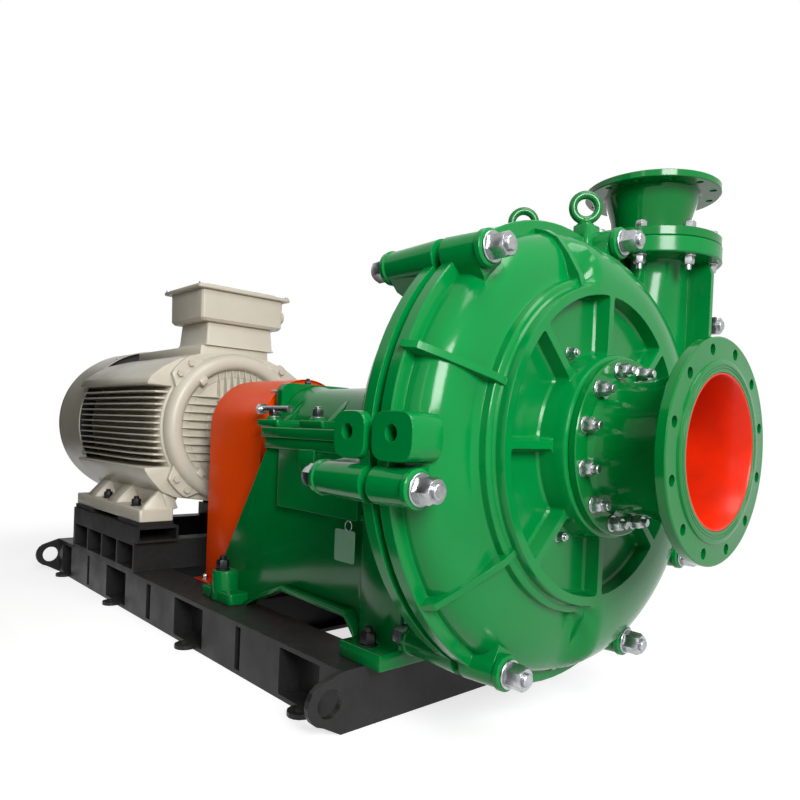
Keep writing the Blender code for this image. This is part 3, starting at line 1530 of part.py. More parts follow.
def build_terminal_box():
    """Riser, box, lid and cable gland on the motor's top."""
    x = back(BOX_CENTRE_X)
    y = BOX_CENTRE_Y
    bottom = SHAFT_HEIGHT + MOTOR_PAD_TOP + FIT_GAP
    blocks(
        "terminal_riser",
        [
            (
                x - RISER_HALF_X,
                x + RISER_HALF_X,
                y - RISER_HALF_Y,
                y + RISER_HALF_Y,
                bottom,
                SHAFT_HEIGHT + RISER_TOP,
            )
        ],
        "motor_grey",
    )
    box_low = SHAFT_HEIGHT + RISER_TOP + FIT_GAP
    box = blocks(
        "terminal_box",
        [(x - BOX_HALF_X, x + BOX_HALF_X, y - BOX_HALF_Y, y + BOX_HALF_Y, box_low, SHAFT_HEIGHT + BOX_TOP)],
        "motor_grey",
    )
    inside = blocks(
        "terminal_box_inside",
        [
            (
                x - BOX_HALF_X + 0.010,
                x + BOX_HALF_X - 0.010,
                y - BOX_HALF_Y + 0.010,
                y + BOX_HALF_Y - 0.010,
                box_low + 0.012,
                SHAFT_HEIGHT + BOX_TOP + 0.050,
            )
        ],
    )
    gland_z = SHAFT_HEIGHT + GLAND_HEIGHT
    entry_start = (back(GLAND_X), y + BOX_HALF_Y - 0.030, gland_z)
    entry = rods("terminal_box_entry", "Y", [(entry_start, 0.060, 0.0195)], segments=16)
    cut(box, inside, entry)
    blocks(
        "terminal_lid",
        [
            (
                x - LID_HALF_X,
                x + LID_HALF_X,
                y - LID_HALF_Y,
                y + LID_HALF_Y,
                SHAFT_HEIGHT + BOX_TOP + FIT_GAP,
                SHAFT_HEIGHT + BOX_TOP + LID_THICKNESS,
            )
        ],
        "motor_grey",
    )
    gland = rods(
        "cable_gland",
        "Y",
        [((back(GLAND_X), y + BOX_HALF_Y - 0.008, gland_z), GLAND_NUT_LENGTH + 0.008, 0.0185)],
        "motor_grey",
        segments=16,
    )
    nut = rods(
        "cable_gland_nut",
        "Y",
        [((back(GLAND_X), y + BOX_HALF_Y + FIT_GAP, gland_z), GLAND_NUT_LENGTH - 0.010, GLAND_NUT_RADIUS)],
        segments=12,
    )
    join(gland, nut)


def build_skid():
    """Two side beams, two end beams with lifting lugs and two inner cross beams."""
    front = SKID_FRONT + SKID_END_PLATE + FIT_GAP
    rear = SKID_REAR - SKID_END_PLATE - FIT_GAP
    inner_y = SKID_HALF_WIDTH - SKID_BEAM_WIDTH
    for side, name in ((-1, "left"), (1, "right")):
        a = side * SKID_HALF_WIDTH
        b = side * inner_y
        beam = blocks(
            f"skid_beam_{name}",
            [(back(rear), back(front), min(a, b), max(a, b), 0.0, SKID_HEIGHT)],
            "charcoal_paint",
        )
        low = SKID_FLANGE
        high = SKID_HEIGHT - SKID_FLANGE
        outside = []
        web = side * (SKID_HALF_WIDTH - 0.062)
        past = side * (SKID_HALF_WIDTH + 0.030)
        for near, far in SKID_OPENINGS + SKID_SLOTS:
            outside.append((back(far), back(near), min(web, past), max(web, past), low, high))
        inside = []
        deep = side * (SKID_HALF_WIDTH - SKID_PLATE)
        shallow = side * (SKID_HALF_WIDTH - 0.074)
        beyond = side * (inner_y - 0.030)
        edges = [front + SKID_PLATE]
        for near, far in sorted(SKID_OPENINGS + SKID_SLOTS):
            edges += [near, far]
        edges.append(rear - SKID_PLATE)
        for k in range(len(edges) - 1):
            near = edges[k]
            far = edges[k + 1]
            open_outside = k % 2 == 1
            if open_outside:
                reach = shallow
            else:
                reach = deep
                near += SKID_PLATE if k else 0.0
                far -= SKID_PLATE if k < len(edges) - 2 else 0.0
            if far - near < 0.030:
                continue
            inside.append((back(far), back(near), min(reach, beyond), max(reach, beyond), low, high))
        cut(beam, blocks(f"skid_outer_pockets_{name}", outside), blocks(f"skid_inner_pockets_{name}", inside))
        tabs = []
        holes = []
        for place in ANCHOR_TABS:
            centre = (back(place), side * (SKID_HALF_WIDTH + 0.010), 0.0)
            tabs.append((centre, 0.012, ANCHOR_TAB_RADIUS))
            holes.append(((back(place), side * (SKID_HALF_WIDTH + 0.016), -0.020), 0.060, ANCHOR_HOLE_RADIUS))
        join(beam, rods(f"anchor_tabs_{name}", "Z", tabs, segments=14))
        cut(beam, rods(f"anchor_holes_{name}", "Z", holes, segments=8))
    for name, place, way in (("front", SKID_FRONT, 1), ("rear", SKID_REAR, -1)):
        if way > 0:
            low, high = back(place + SKID_END_PLATE), back(place)
            channel = (back(place + CROSS_BEAM_WIDTH), low + 0.002)
        else:
            low, high = back(place), back(place - SKID_END_PLATE)
            channel = (high - 0.002, back(place - CROSS_BEAM_WIDTH))
        end = plate(
            f"skid_end_{name}",
            padeye_outline(),
            low,
            high,
            "X",
            "charcoal_paint",
            holes=((-0.405, 0.080, PADEYE_HOLE_RADIUS), (0.405, 0.080, PADEYE_HOLE_RADIUS)),
        )
        wide = inner_y - FIT_GAP
        flanges = blocks(
            f"skid_end_flanges_{name}",
            [
                (channel[0], channel[1], -wide, wide, 0.0, SKID_FLANGE),
                (channel[0], channel[1], -wide, wide, SKID_HEIGHT - SKID_FLANGE, SKID_HEIGHT),
            ],
        )
        join(end, flanges)
    for name, place in (("middle", MID_BEAM_X), ("motor", MOTOR_BEAM_X)):
        wide = inner_y - FIT_GAP
        near = back(place) + CROSS_BEAM_WIDTH / 2
        far = back(place) - CROSS_BEAM_WIDTH / 2
        beam = blocks(f"skid_cross_{name}", [(far, near, -wide, wide, 0.0, SKID_HEIGHT)], "charcoal_paint")
        sides = []
        for a, b in ((far - 0.020, back(place) - 0.005), (back(place) + 0.005, near + 0.020)):
            sides.append((a, b, -wide - 0.020, wide + 0.020, SKID_FLANGE, SKID_HEIGHT - SKID_FLANGE))
        cut(beam, blocks(f"skid_cross_sides_{name}", sides))


def padeye_outline():
    """End plate outline in (y, z) with a rounded lifting lug at both ends."""
    outline = [(-SKID_HALF_WIDTH, 0.0), (SKID_HALF_WIDTH, 0.0)]
    radius = 0.052
    reach = PADEYE_REACH - radius
    middle = 0.080
    for k in range(9):
        angle = math.radians(-80 + 160 * k / 8)
        outline.append((reach + radius * math.cos(angle), middle + radius * math.sin(angle)))
    outline.append((SKID_HALF_WIDTH, SKID_HEIGHT))
    outline.append((-SKID_HALF_WIDTH, SKID_HEIGHT))
    for k in range(9):
        angle = math.radians(100 + 160 * k / 8)
        outline.append((-reach + radius * math.cos(angle), middle + radius * math.sin(angle)))
    return outline


def build_motor_stand():
    """Rectangular tubes under the motor feet, on stiffened channels and cross channels."""
    pad_top = STAND_TOP
    top = pad_top - STAND_PAD_THICKNESS
    rail_low = top - STAND_RAIL_HEIGHT
    beam_low = SKID_HEIGHT + FIT_GAP
    beam_high = rail_low - FIT_GAP
    for side, name in ((-1, "left"), (1, "right")):
        a = side * SKID_HALF_WIDTH
        b = side * (SKID_HALF_WIDTH - STAND_RAIL_WIDTH)
        rail = blocks(
            f"stand_rail_{name}",
            [(back(STAND_REAR), back(STAND_FRONT), min(a, b), max(a, b), rail_low, top)],
            "charcoal_paint",
        )
        w = STAND_RAIL_WALL
        hollow = blocks(
            f"stand_rail_hollow_{name}",
            [
                (
                    back(STAND_REAR) - 0.020,
                    back(STAND_FRONT) + 0.020,
                    min(a, b) + w,
                    max(a, b) - w,
                    rail_low + w,
                    top - w,
                )
            ],
        )
        bolts = rods(
            f"stand_rail_holes_{name}",
            "Z",
            [
                ((back(MOTOR_FOOT_FRONT + 0.040), side * 0.330, top - 0.050), 0.090, 0.0140),
                ((back(MOTOR_FOOT_REAR - 0.030), side * 0.330, top - 0.050), 0.090, 0.0140),
            ],
            segments=12,
        )
        pad_outer = MOTOR_FOOT_HALF_WIDTH + 0.004
        pad_inner = MOTOR_FOOT_HALF_WIDTH - MOTOR_FOOT_WIDTH
        pads = blocks(
            f"stand_rail_pads_{name}",
            [
                (
                    back(start + MOTOR_FOOT_LENGTH),
                    back(start),
                    min(side * pad_outer, side * pad_inner),
                    max(side * pad_outer, side * pad_inner),
                    top - 0.004,
                    pad_top,
                )
                for start in (MOTOR_FOOT_FRONT + 0.010, MOTOR_FOOT_REAR - MOTOR_FOOT_LENGTH)
            ],
        )
        join(rail, pads)
        cut(rail, hollow, bolts)
        beam = blocks(
            f"stand_beam_{name}",
            [(back(STAND_REAR), back(STAND_FRONT + 0.030), min(a, b), max(a, b), beam_low, beam_high)],
            "charcoal_paint",
        )
        pockets = []
        edge = STAND_FRONT + 0.042
        bay = (STAND_REAR - 0.012 - edge) / 4
        for k in range(4):
            near = edge + k * bay
            far = near + bay - 0.012
            c = side * (SKID_HALF_WIDTH + 0.020)
            d = side * (SKID_HALF_WIDTH - STAND_RAIL_WIDTH + 0.012)
            pockets.append((back(far), back(near), min(c, d), max(c, d), beam_low + 0.011, beam_high - 0.011))
        cut(beam, blocks(f"stand_beam_pockets_{name}", pockets))
    inner = SKID_HALF_WIDTH - STAND_RAIL_WIDTH - FIT_GAP
    crosses = (
        ("front", STAND_FRONT + 0.032, 1),
        ("rear", STAND_REAR - STAND_CROSS_WIDTH - 0.002, -1),
    )
    for name, near, way in crosses:
        cross = blocks(
            f"stand_cross_{name}",
            [(back(near + STAND_CROSS_WIDTH), back(near), -inner, inner, beam_low, beam_high)],
            "charcoal_paint",
        )
        a = back(near + STAND_CROSS_WIDTH) - 0.020 if way > 0 else back(near + STAND_CROSS_WIDTH) + 0.009
        b = back(near) - 0.009 if way > 0 else back(near) + 0.020
        hollow = blocks(
            f"stand_cross_hollow_{name}",
            [(min(a, b), max(a, b), -inner - 0.020, inner + 0.020, beam_low + 0.010, beam_high - 0.010)],
        )
        cut(cross, hollow)


def turn_rotors():
    """Turns both rotors half a facet, so that a shaft's corners meet the flats of its bearing bores."""
    axis = Matrix.Translation((0, 0, SHAFT_HEIGHT))
    half_facet = axis @ Matrix.Rotation(math.pi / 16, 4, "X") @ axis.inverted()
    for name in ROTOR_PIECES:
        piece = bpy.data.objects[name]
        operands = [step.object for step in piece.modifiers if step.type == "BOOLEAN"]
        for shape in [piece, *operands]:
            shape.matrix_world = half_facet @ shape.matrix_world


build_casings()
build_liners()
build_impeller()
build_suction_adapter()
build_discharge_spool()
build_tie_bolts()
build_eyebolts()
build_shaft_line()
build_bracket()
build_coupling()
build_motor()
build_skid()
build_motor_stand()
turn_rotors()
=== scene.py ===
"""Looks of a horizontal slurry pump set: castings, fabrications, fasteners, paint and studio.

Metres, +Z up, +X along the shaft toward the suction flange, +Y toward the discharge side.
"""

import json
import logging
import math
from collections.abc import Callable, Iterable, Sequence
from dataclasses import dataclass
from enum import Enum

import bmesh
import bpy
from mathutils import Matrix, Vector

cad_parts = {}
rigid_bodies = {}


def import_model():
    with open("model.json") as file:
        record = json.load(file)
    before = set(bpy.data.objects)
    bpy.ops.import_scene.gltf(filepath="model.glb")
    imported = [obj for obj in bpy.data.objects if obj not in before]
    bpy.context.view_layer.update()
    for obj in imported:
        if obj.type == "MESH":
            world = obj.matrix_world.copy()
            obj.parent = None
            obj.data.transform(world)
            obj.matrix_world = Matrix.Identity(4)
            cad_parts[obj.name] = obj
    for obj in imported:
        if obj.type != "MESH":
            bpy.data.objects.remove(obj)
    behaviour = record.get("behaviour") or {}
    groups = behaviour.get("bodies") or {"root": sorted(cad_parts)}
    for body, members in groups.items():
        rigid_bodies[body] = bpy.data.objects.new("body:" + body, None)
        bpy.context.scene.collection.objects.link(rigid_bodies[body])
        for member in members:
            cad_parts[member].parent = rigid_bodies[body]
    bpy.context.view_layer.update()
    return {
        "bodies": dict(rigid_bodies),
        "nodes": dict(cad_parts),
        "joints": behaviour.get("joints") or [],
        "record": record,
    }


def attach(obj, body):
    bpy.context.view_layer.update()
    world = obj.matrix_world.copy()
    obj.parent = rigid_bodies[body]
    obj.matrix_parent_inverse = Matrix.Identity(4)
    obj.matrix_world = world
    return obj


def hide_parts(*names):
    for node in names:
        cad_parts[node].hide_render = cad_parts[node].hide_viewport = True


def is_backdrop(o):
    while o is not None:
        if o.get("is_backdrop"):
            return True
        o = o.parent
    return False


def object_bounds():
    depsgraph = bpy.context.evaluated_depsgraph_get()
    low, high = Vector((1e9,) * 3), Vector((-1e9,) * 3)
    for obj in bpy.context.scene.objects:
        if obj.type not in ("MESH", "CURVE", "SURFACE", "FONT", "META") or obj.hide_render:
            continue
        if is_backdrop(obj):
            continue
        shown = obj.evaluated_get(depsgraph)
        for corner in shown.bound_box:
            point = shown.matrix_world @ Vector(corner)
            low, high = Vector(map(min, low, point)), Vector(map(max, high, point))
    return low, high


logging.basicConfig(level=logging.INFO, format="%(message)s")
LOG = logging.getLogger("slurry_pump_set")

Point = tuple[float, float, float]
Flat = tuple[float, float]
Profile = list[Flat]
Piece = bpy.types.Object
Tree = bpy.types.NodeTree
Socket = bpy.types.NodeSocket

FACE_X = 1.4
AXIS_Z = 0.693
SHAFT = (0.0, AXIS_Z)
AHEAD = Vector((1, 0, 0))
OVERHEAD = Vector((0, 0, 1))
WELD_DISTANCE = 0.000005
# The colour inputs of a mix node
MIX_FIRST, MIX_SECOND = 6, 7
# Wave texture scale at which one band is a millimetre wide
WAVE_PER_MM = 314.159


class Body(str, Enum):
    """The rigid bodies that pieces ride on."""

    BASE = "base"
    CARTRIDGE = "bearing_cartridge"
    PUMP_ROTOR = "pump_rotor"
    MOTOR_ROTOR = "motor_rotor"
    GLAND = "gland"


class Along(str, Enum):
    """The axis that a turned or extruded shape runs along."""

    X = "X"
    Y = "Y"
    Z = "Z"


def srgb(code: str) -> tuple[float, float, float, float]:
    """Turns an sRGB hex code into a linear colour.

    Args:
        code: Six hex digits with a leading hash.

    Returns:
        Linear red, green, blue and an alpha of one.
    """
    shades = []
    for k in (1, 3, 5):
        value = int(code[k : k + 2], 16) / 255
        shades.append(value / 12.92 if value <= 0.04045 else ((value + 0.055) / 1.055) ** 2.4)
    return (shades[0], shades[1], shades[2], 1.0)


def add_node(
    tree: Tree, kind: str, settings: dict[str | int, object] | None = None,
    links: dict[str | int, Socket] | None = None
) -> bpy.types.Node:
    """Adds one node with its settings and links.

    Args:
        tree: The node tree that gets it.
        kind: Blender's name for the node's type.
        settings: Attribute names, input names or input numbers with their values.
        links: Input names or numbers with the output sockets that feed them.

    Returns:
        The new node.
    """
    made = tree.nodes.new(kind)
    for name, value in (settings or {}).items():
        if isinstance(name, int) or name in made.inputs:
            made.inputs[name].default_value = value
        else:
            setattr(made, name, value)
    for name, source in (links or {}).items():
        tree.links.new(source, made.inputs[name])
    return made


def back(distance: float) -> float:
    """The X of a point that lies this far back from the suction face."""
    return FACE_X - distance


def up(height: float) -> float:
    """The Z of a point this far above the shaft."""
    return AXIS_Z + height


def backs(*points: Flat) -> Profile:
    """A profile of (distance back, radius) points."""
    return [(back(distance), radius) for distance, radius in points]


def ups(*points: Flat) -> Profile:
    """A profile of (height over the shaft, radius) points."""
    return [(up(height), radius) for height, radius in points]


def facing(*points: Flat) -> list[Flat]:
    """An outline of (y, height over the shaft) points, seen along the shaft."""
    return [(y, up(height)) for y, height in points]


def polar(radius: float, degrees: float) -> Flat:
    """(y, z) of a point on a circle about the shaft, z from the floor."""
    turn = math.radians(degrees)
    return (radius * math.cos(turn), AXIS_Z + radius * math.sin(turn))


def finish_mesh(name: str, work: bmesh.types.BMesh, sharp: float = 35.0) -> Piece:
    """Makes an object of a bmesh, with outward normals and smooth shading up to an angle.

    Args:
        name: The piece's name.
        work: The bmesh, which is freed.
        sharp: Edges over this many degrees stay crisp.

    Returns:
        The new object, linked to the scene.
    """
    bmesh.ops.recalc_face_normals(work, faces=work.faces)
    return stand(name, work, sharp)


def stand(name: str, work: bmesh.types.BMesh, sharp: float) -> Piece:
    """Puts a bmesh in the scene as an object.

    Args:
        name: The piece's name.
        work: The bmesh, which is freed.
        sharp: Edges over this many degrees stay crisp.

    Returns:
        The new object, linked to the scene.
    """
    made = bpy.data.objects.new(name, bpy.data.meshes.new(name))
    pour(work, made.data, sharp)
    bpy.context.scene.collection.objects.link(made)
    return made


def pour(work: bmesh.types.BMesh, mesh: bpy.types.Mesh, sharp: float) -> None:
    """Fills a mesh from a bmesh and shades it smooth up to an angle.

    Args:
        work: The bmesh, which is freed.
        mesh: The mesh that it fills.
        sharp: Edges over this many degrees stay crisp.
    """
    work.to_mesh(mesh)
    work.free()
    for face in mesh.polygons:
        face.use_smooth = True
    mesh.set_sharp_from_angle(angle=math.radians(sharp))


def evaluated(piece: Piece) -> bpy.types.Mesh:
    """A new mesh of a piece with its modifiers applied.

    Args:
        piece: The piece.

    Returns:
        The mesh.
    """
    graph = bpy.context.evaluated_depsgraph_get()
    graph.update()
    return bpy.data.meshes.new_from_object(piece.evaluated_get(graph))


def soften(piece: Piece, width: float, segments: int = 2, angle: float = 32.0) -> Piece:
    """Rounds a piece's edges, as a deburred, painted or cast edge is.

    Args:
        piece: The piece.
        width: The rounding's width in metres.
        segments: Facets across the rounding.
        angle: Only edges sharper than this many degrees are rounded.

    Returns:
        The same piece.
    """
    bevel = piece.modifiers.new("edge_rounding", "BEVEL")
    bevel.width = width
    bevel.segments = segments
    bevel.limit_method = "ANGLE"
    bevel.angle_limit = math.radians(angle)
    bevel.harden_normals = True
    bevel.use_clamp_overlap = True
    return piece


def place_along(along: Along, centre: Flat) -> Matrix:
    """The matrix that stands a shape made about Z on its own axis.

    Args:
        along: The axis that the shape runs along.
        centre: Where that axis lies: (y, z) for X, (x, z) for Y and (x, y) for Z.

    Returns:
        A rotation and a move in the object's frame.
    """
    if along is Along.X:
        return Matrix(((0, 0, 1, 0), (1, 0, 0, centre[0]), (0, 1, 0, centre[1]), (0, 0, 0, 1)))
    if along is Along.Y:
        return Matrix(((1, 0, 0, centre[0]), (0, 0, 1, 0), (0, 1, 0, centre[1]), (0, 0, 0, 1)))
    return Matrix.Translation((centre[0], centre[1], 0))


def swept_ring(
    name: str, section: Callable[[float], Profile], steps: int, along: Along = Along.X, centre: Flat = SHAFT,
    sharp: float = 35.0
) -> Piece:
    """A closed ring whose section may change as it goes round.

    Args:
        name: The piece's name.
        section: Gives the closed (place, radius) outline at an angle in degrees.
        steps: How many sections go round.
        along: The ring's axis.
        centre: Where the axis lies.
        sharp: Edges over this many degrees stay crisp.

    Returns:
        The ring.
    """
    work = bmesh.new()
    rows = []
    for k in range(steps):
        degrees = 360 * k / steps
        turn = math.radians(degrees)
        rows.append(
            [work.verts.new((r * math.cos(turn), r * math.sin(turn), place)) for place, r in section(degrees)]
        )
    for k in range(steps):
        this, following = rows[k], rows[(k + 1) % steps]
        for j in range(len(this)):
            i = (j + 1) % len(this)
            work.faces.new((this[j], following[j], following[i], this[i]))
    work.transform(place_along(along, centre))
    return finish_mesh(name, work, sharp)


def lathe(
    name: str, profile: Profile, steps: int = 64, along: Along = Along.X, centre: Flat = SHAFT,
    sharp: float = 35.0
) -> Piece:
    """A turned piece. A profile that starts and ends on the axis makes a solid one.

    Args:
        name: The piece's name.
        profile: (place, radius) points in order.
        steps: Facets round the axis.
        along: The axis.
        centre: Where the axis lies.
        sharp: Edges over this many degrees stay crisp.

    Returns:
        The piece.
    """
    if profile[0][1] > 0 and profile[-1][1] > 0:
        return swept_ring(name, lambda degrees: profile, steps, along, centre, sharp)
    work = bmesh.new()
    rows = []
    for place, radius in profile:
        ring = circle(radius, steps=steps) if radius > 0 else [(0.0, 0.0)]
        rows.append([work.verts.new((a, b, place)) for a, b in ring])
    for low, high in zip(rows, rows[1:]):
        for k in range(steps):
            a, b = k, (k + 1) % steps
            corners = [low[a % len(low)], low[b % len(low)], high[b % len(high)], high[a % len(high)]]
            unique = list(dict.fromkeys(corners))
            if len(unique) > 2:
                work.faces.new(unique)
    work.transform(place_along(along, centre))
    return finish_mesh(name, work, sharp)


def circle(radius: float, centre: Flat = (0.0, 0.0), steps: int = 32, start: float = 0.0) -> list[Flat]:
    """Points of a circle in a flat outline.

    Args:
        radius: The circle's radius.
        centre: Its middle.
        steps: How many points it has.
        start: The first point's angle, in degrees.

    Returns:
        The points in order.
    """
    found = []
    for k in range(steps):
        turn = math.radians(start) + 2 * math.pi * k / steps
        found.append((centre[0] + radius * math.cos(turn), centre[1] + radius * math.sin(turn)))
    return found


def prism(
    name: str, outline: Sequence[Flat], low: float, high: float, along: Along, holes: Iterable[Sequence[Flat]] = (),
    sharp: float = 35.0
) -> Piece:
    """A flat outline, with holes if any, extruded along an axis.

    Args:
        name: The piece's name.
        outline: (y, z), (x, z) or (x, y) points for axis X, Y or Z.
        low: Where the extrusion starts.
        high: Where it ends.
        along: The axis.
        holes: Closed outlines cut out of it.
        sharp: Edges over this many degrees stay crisp.

    Returns:
        The piece.
    """
    work = bmesh.new()
    edges = []
    for loop in [list(outline), *[list(hole) for hole in holes]]:
        corners = [work.verts.new((a, b, low)) for a, b in loop]
        for first, second in zip(corners, corners[1:] + corners[:1]):
            edges.append(work.edges.new((first, second)))
    bmesh.ops.triangle_fill(work, use_beauty=True, use_dissolve=False, edges=edges)
    if not holes:
        bmesh.ops.dissolve_limit(work, angle_limit=0.01, verts=work.verts, edges=work.edges, delimit={"NORMAL"})
    moved = bmesh.ops.extrude_face_region(work, geom=list(work.faces))
    tops = [item for item in moved["geom"] if isinstance(item, bmesh.types.BMVert)]
    bmesh.ops.translate(work, verts=tops, vec=(0, 0, high - low))
    work.transform(place_along(along, (0.0, 0.0)))
    return finish_mesh(name, work, sharp)


def slab(name: str, low: Point, high: Point) -> Piece:
    """A rectangular bar or plate between two corners, ready for edge rounding.

    Args:
        name: The piece's name.
        low: Its lowest corner.
        high: Its highest corner.

    Returns:
        The bar or plate.
    """
    work = bmesh.new()
    middle = (Vector(low) + Vector(high)) / 2
    sides = Vector(high) - Vector(low)
    shape = Matrix.Translation(middle) @ Matrix.Diagonal((sides.x, sides.y, sides.z, 1.0))
    bmesh.ops.create_cube(work, size=1.0, matrix=shape)
    return finish_mesh(name, work)


def tube(name: str, path: Sequence[Point], radius: float, sides: int = 16, closed: bool = False) -> Piece:
    """A round bar bent along a path.

    Args:
        name: The piece's name.
        path: The centre line's points.
        radius: The bar's radius.
        sides: Facets round the bar.
        closed: Whether the path joins up.

    Returns:
        The bar.
    """
    work = bmesh.new()
    points = [Vector(p) for p in path]
    count = len(points)
    side = None
    rows = []
    for k, point in enumerate(points):
        before = points[k - 1] if (closed or k) else point
        after = points[(k + 1) % count] if (closed or k < count - 1) else point
        ahead = (after - before).normalized()
        if side is None:
            side = ahead.orthogonal().normalized()
        side = (side - ahead * side.dot(ahead)).normalized()
        other = ahead.cross(side)
        rows.append([work.verts.new(point + side * a + other * b) for a, b in circle(radius, steps=sides)])
    for k in range(count if closed else count - 1):
        this, following = rows[k], rows[(k + 1) % count]
        for j in range(sides):
            i = (j + 1) % sides
            work.faces.new((this[j], this[i], following[i], following[j]))
    if not closed:
        work.faces.new(rows[0])
        work.faces.new(rows[-1])
    return finish_mesh(name, work)


def apply_all(piece: Piece, sharp: float = 35.0) -> Piece:
    """Turns a piece's modifiers into its mesh.

    Args:
        piece: The piece.
        sharp: Edges over this many degrees stay crisp.

    Returns:
        The same piece.
    """
    mesh = evaluated(piece)
    piece.modifiers.clear()
    work = bmesh.new()
    work.from_mesh(mesh)
    bmesh.ops.remove_doubles(work, verts=work.verts, dist=WELD_DISTANCE)
    bmesh.ops.dissolve_degenerate(work, edges=work.edges, dist=WELD_DISTANCE)
    pour(work, mesh, sharp)
    piece.data = mesh
    return piece


def combine(target: Piece, how: str, others: Sequence[Piece]) -> Piece:
    """Joins other shapes to a piece or cuts them out of it, and removes them.

    Args:
        target: The piece that is kept.
        how: UNION or DIFFERENCE.
        others: The shapes used.

    Returns:
        The piece.
    """
    for other in others:
        step = target.modifiers.new(other.name, "BOOLEAN")
        step.operation = how
        step.solver = "EXACT"
        step.object = other
        apply_all(target)
        bpy.data.objects.remove(other, do_unlink=True)
    return target


def unite(target: Piece, *others: Piece) -> Piece:
    """Fuses shapes into a piece, as a casting or a weld does."""
    return combine(target, "UNION", others)


def carve(target: Piece, *others: Piece) -> Piece:
    """Cuts shapes out of a piece, as a core or a drill does."""
    return combine(target, "DIFFERENCE", others)


def gather(name: str, pieces: Sequence[Piece]) -> Piece:
    """Puts several loose shapes in one object, each with its modifiers applied.

    Args:
        name: The piece's name.
        pieces: The shapes, which are removed.

    Returns:
        One object that holds them all.
    """
    work = bmesh.new()
    for piece in pieces:
        mesh = evaluated(piece)
        work.from_mesh(mesh)
        bpy.data.meshes.remove(mesh)
        bpy.data.objects.remove(piece, do_unlink=True)
    return stand(name, work, 35.0)


def rounded(
    outline: Sequence[Flat], radius: float, steps: int = 4, corners: Sequence[int] = (), most: float = 0.45
) -> list[Flat]:
    """An outline with its corners rounded.

    Args:
        outline: The sharp outline.
        radius: How far back from a corner the rounding starts.
        steps: Points across one corner.
        corners: The numbers of the corners that are rounded; none named means all.
        most: The largest share of a side that one rounding takes.

    Returns:
        The rounded outline.
    """
    found = []
    count = len(outline)
    for k in range(count):
        if corners and k not in corners:
            found.append(outline[k])
            continue
        before, corner, after = (Vector(outline[(k + j) % count]) for j in (-1, 0, 1))
        reach_in = min(radius, (before - corner).length * most)
        reach_out = min(radius, (after - corner).length * most)
        start = corner + (before - corner).normalized() * reach_in
        end = corner + (after - corner).normalized() * reach_out
        for j in range(steps + 1):
            t = j / steps
            point = start * (1 - t) ** 2 + corner * 2 * t * (1 - t) + end * t**2
            found.append((point.x, point.y))
    return found


def rounded_box(low: Flat, high: Flat, radius: float, steps: int = 4) -> list[Flat]:
    """A rectangle with rounded corners.

    Args:
        low: Its lowest corner.
        high: Its highest corner.
        radius: How far back from a corner the rounding starts.
        steps: Points across one corner.

    Returns:
        Its outline.
    """
    return rounded([low, (high[0], low[1]), high, (low[0], high[1])], radius, steps)


def loft(name: str, loops: Sequence[Sequence[Point]], sharp: float = 35.0) -> Piece:
    """A solid skinned over closed loops of equal length, with flat ends.

    Args:
        name: The piece's name.
        loops: The loops in order, each a list of points.
        sharp: Edges over this many degrees stay crisp.

    Returns:
        The piece.
    """
    work = bmesh.new()
    rows = [[work.verts.new(point) for point in loop] for loop in loops]
    count = len(rows[0])
    for low, high in zip(rows, rows[1:]):
        for k in range(count):
            j = (k + 1) % count
            work.faces.new((low[k], low[j], high[j], high[k]))
    work.faces.new(rows[0])
    work.faces.new(rows[-1])
    return finish_mesh(name, work, sharp)


def hexagon(name: str, base: Point, out: Vector, flats: float, height: float, turn: float = 0.0) -> Piece:
    """A hexagon nut or bolt head with a chamfered crown.

    Args:
        name: The piece's name.
        base: The middle of the face that it sits on.
        out: The direction that it points.
        flats: Its size across flats.
        height: Its height.
        turn: How far it is turned about its axis, in degrees.

    Returns:
        The nut.
    """
    corner = flats / math.sqrt(3)
    rows = []
    for place, share, mix in ((0.0, 0.97, 0.0), (0.06, 1.0, 0.0), (0.8, 1.0, 0.0), (1.0, 0.93, 0.85)):
        loop = []
        for k in range(24):
            angle = math.radians(turn + 15 * k)
            within = (15 * k) % 60 - 30
            hexed = corner * math.cos(math.radians(30)) / math.cos(math.radians(within))
            reach = (hexed * (1 - mix) + flats / 2 * mix) * share
            loop.append((reach * math.cos(angle), reach * math.sin(angle), place * height))
        rows.append(loop)
    made = loft(name, rows, 25.0)
    made.data.transform(Matrix.Translation(Vector(base)) @ out.to_track_quat("Z", "Y").to_matrix().to_4x4())
    return made


def fastener(
    name: str, base: Point, out: Vector, flats: float, stud: float, washer: bool = True, turn: float = 0.0
) -> list[Piece]:
    """A nut on its stud end, on a washer.

    Args:
        name: The piece's name.
        base: The middle of the face that it sits on.
        out: The direction that it points.
        flats: The nut's size across flats.
        stud: How far the stud stands out of the nut; 0 makes a bolt head.
        washer: Whether a washer lies under it.
        turn: How far the nut is turned, in degrees.

    Returns:
        The loose pieces.
    """
    out = out.normalized()
    foot = Vector(base)
    found = []
    if washer:
        thick = flats * 0.11
        found.append(round_bar(f"{name}_washer", foot, out, flats * 0.66, thick))
        foot = foot + out * thick
    height = flats * (0.8 if stud > 0 else 0.64)
    found.append(hexagon(f"{name}_nut", tuple(foot), out, flats, height, turn))
    if stud > 0:
        found.append(round_bar(f"{name}_stud", foot + out * (height - 0.001), out, flats * 0.31, stud + 0.001))
    return found


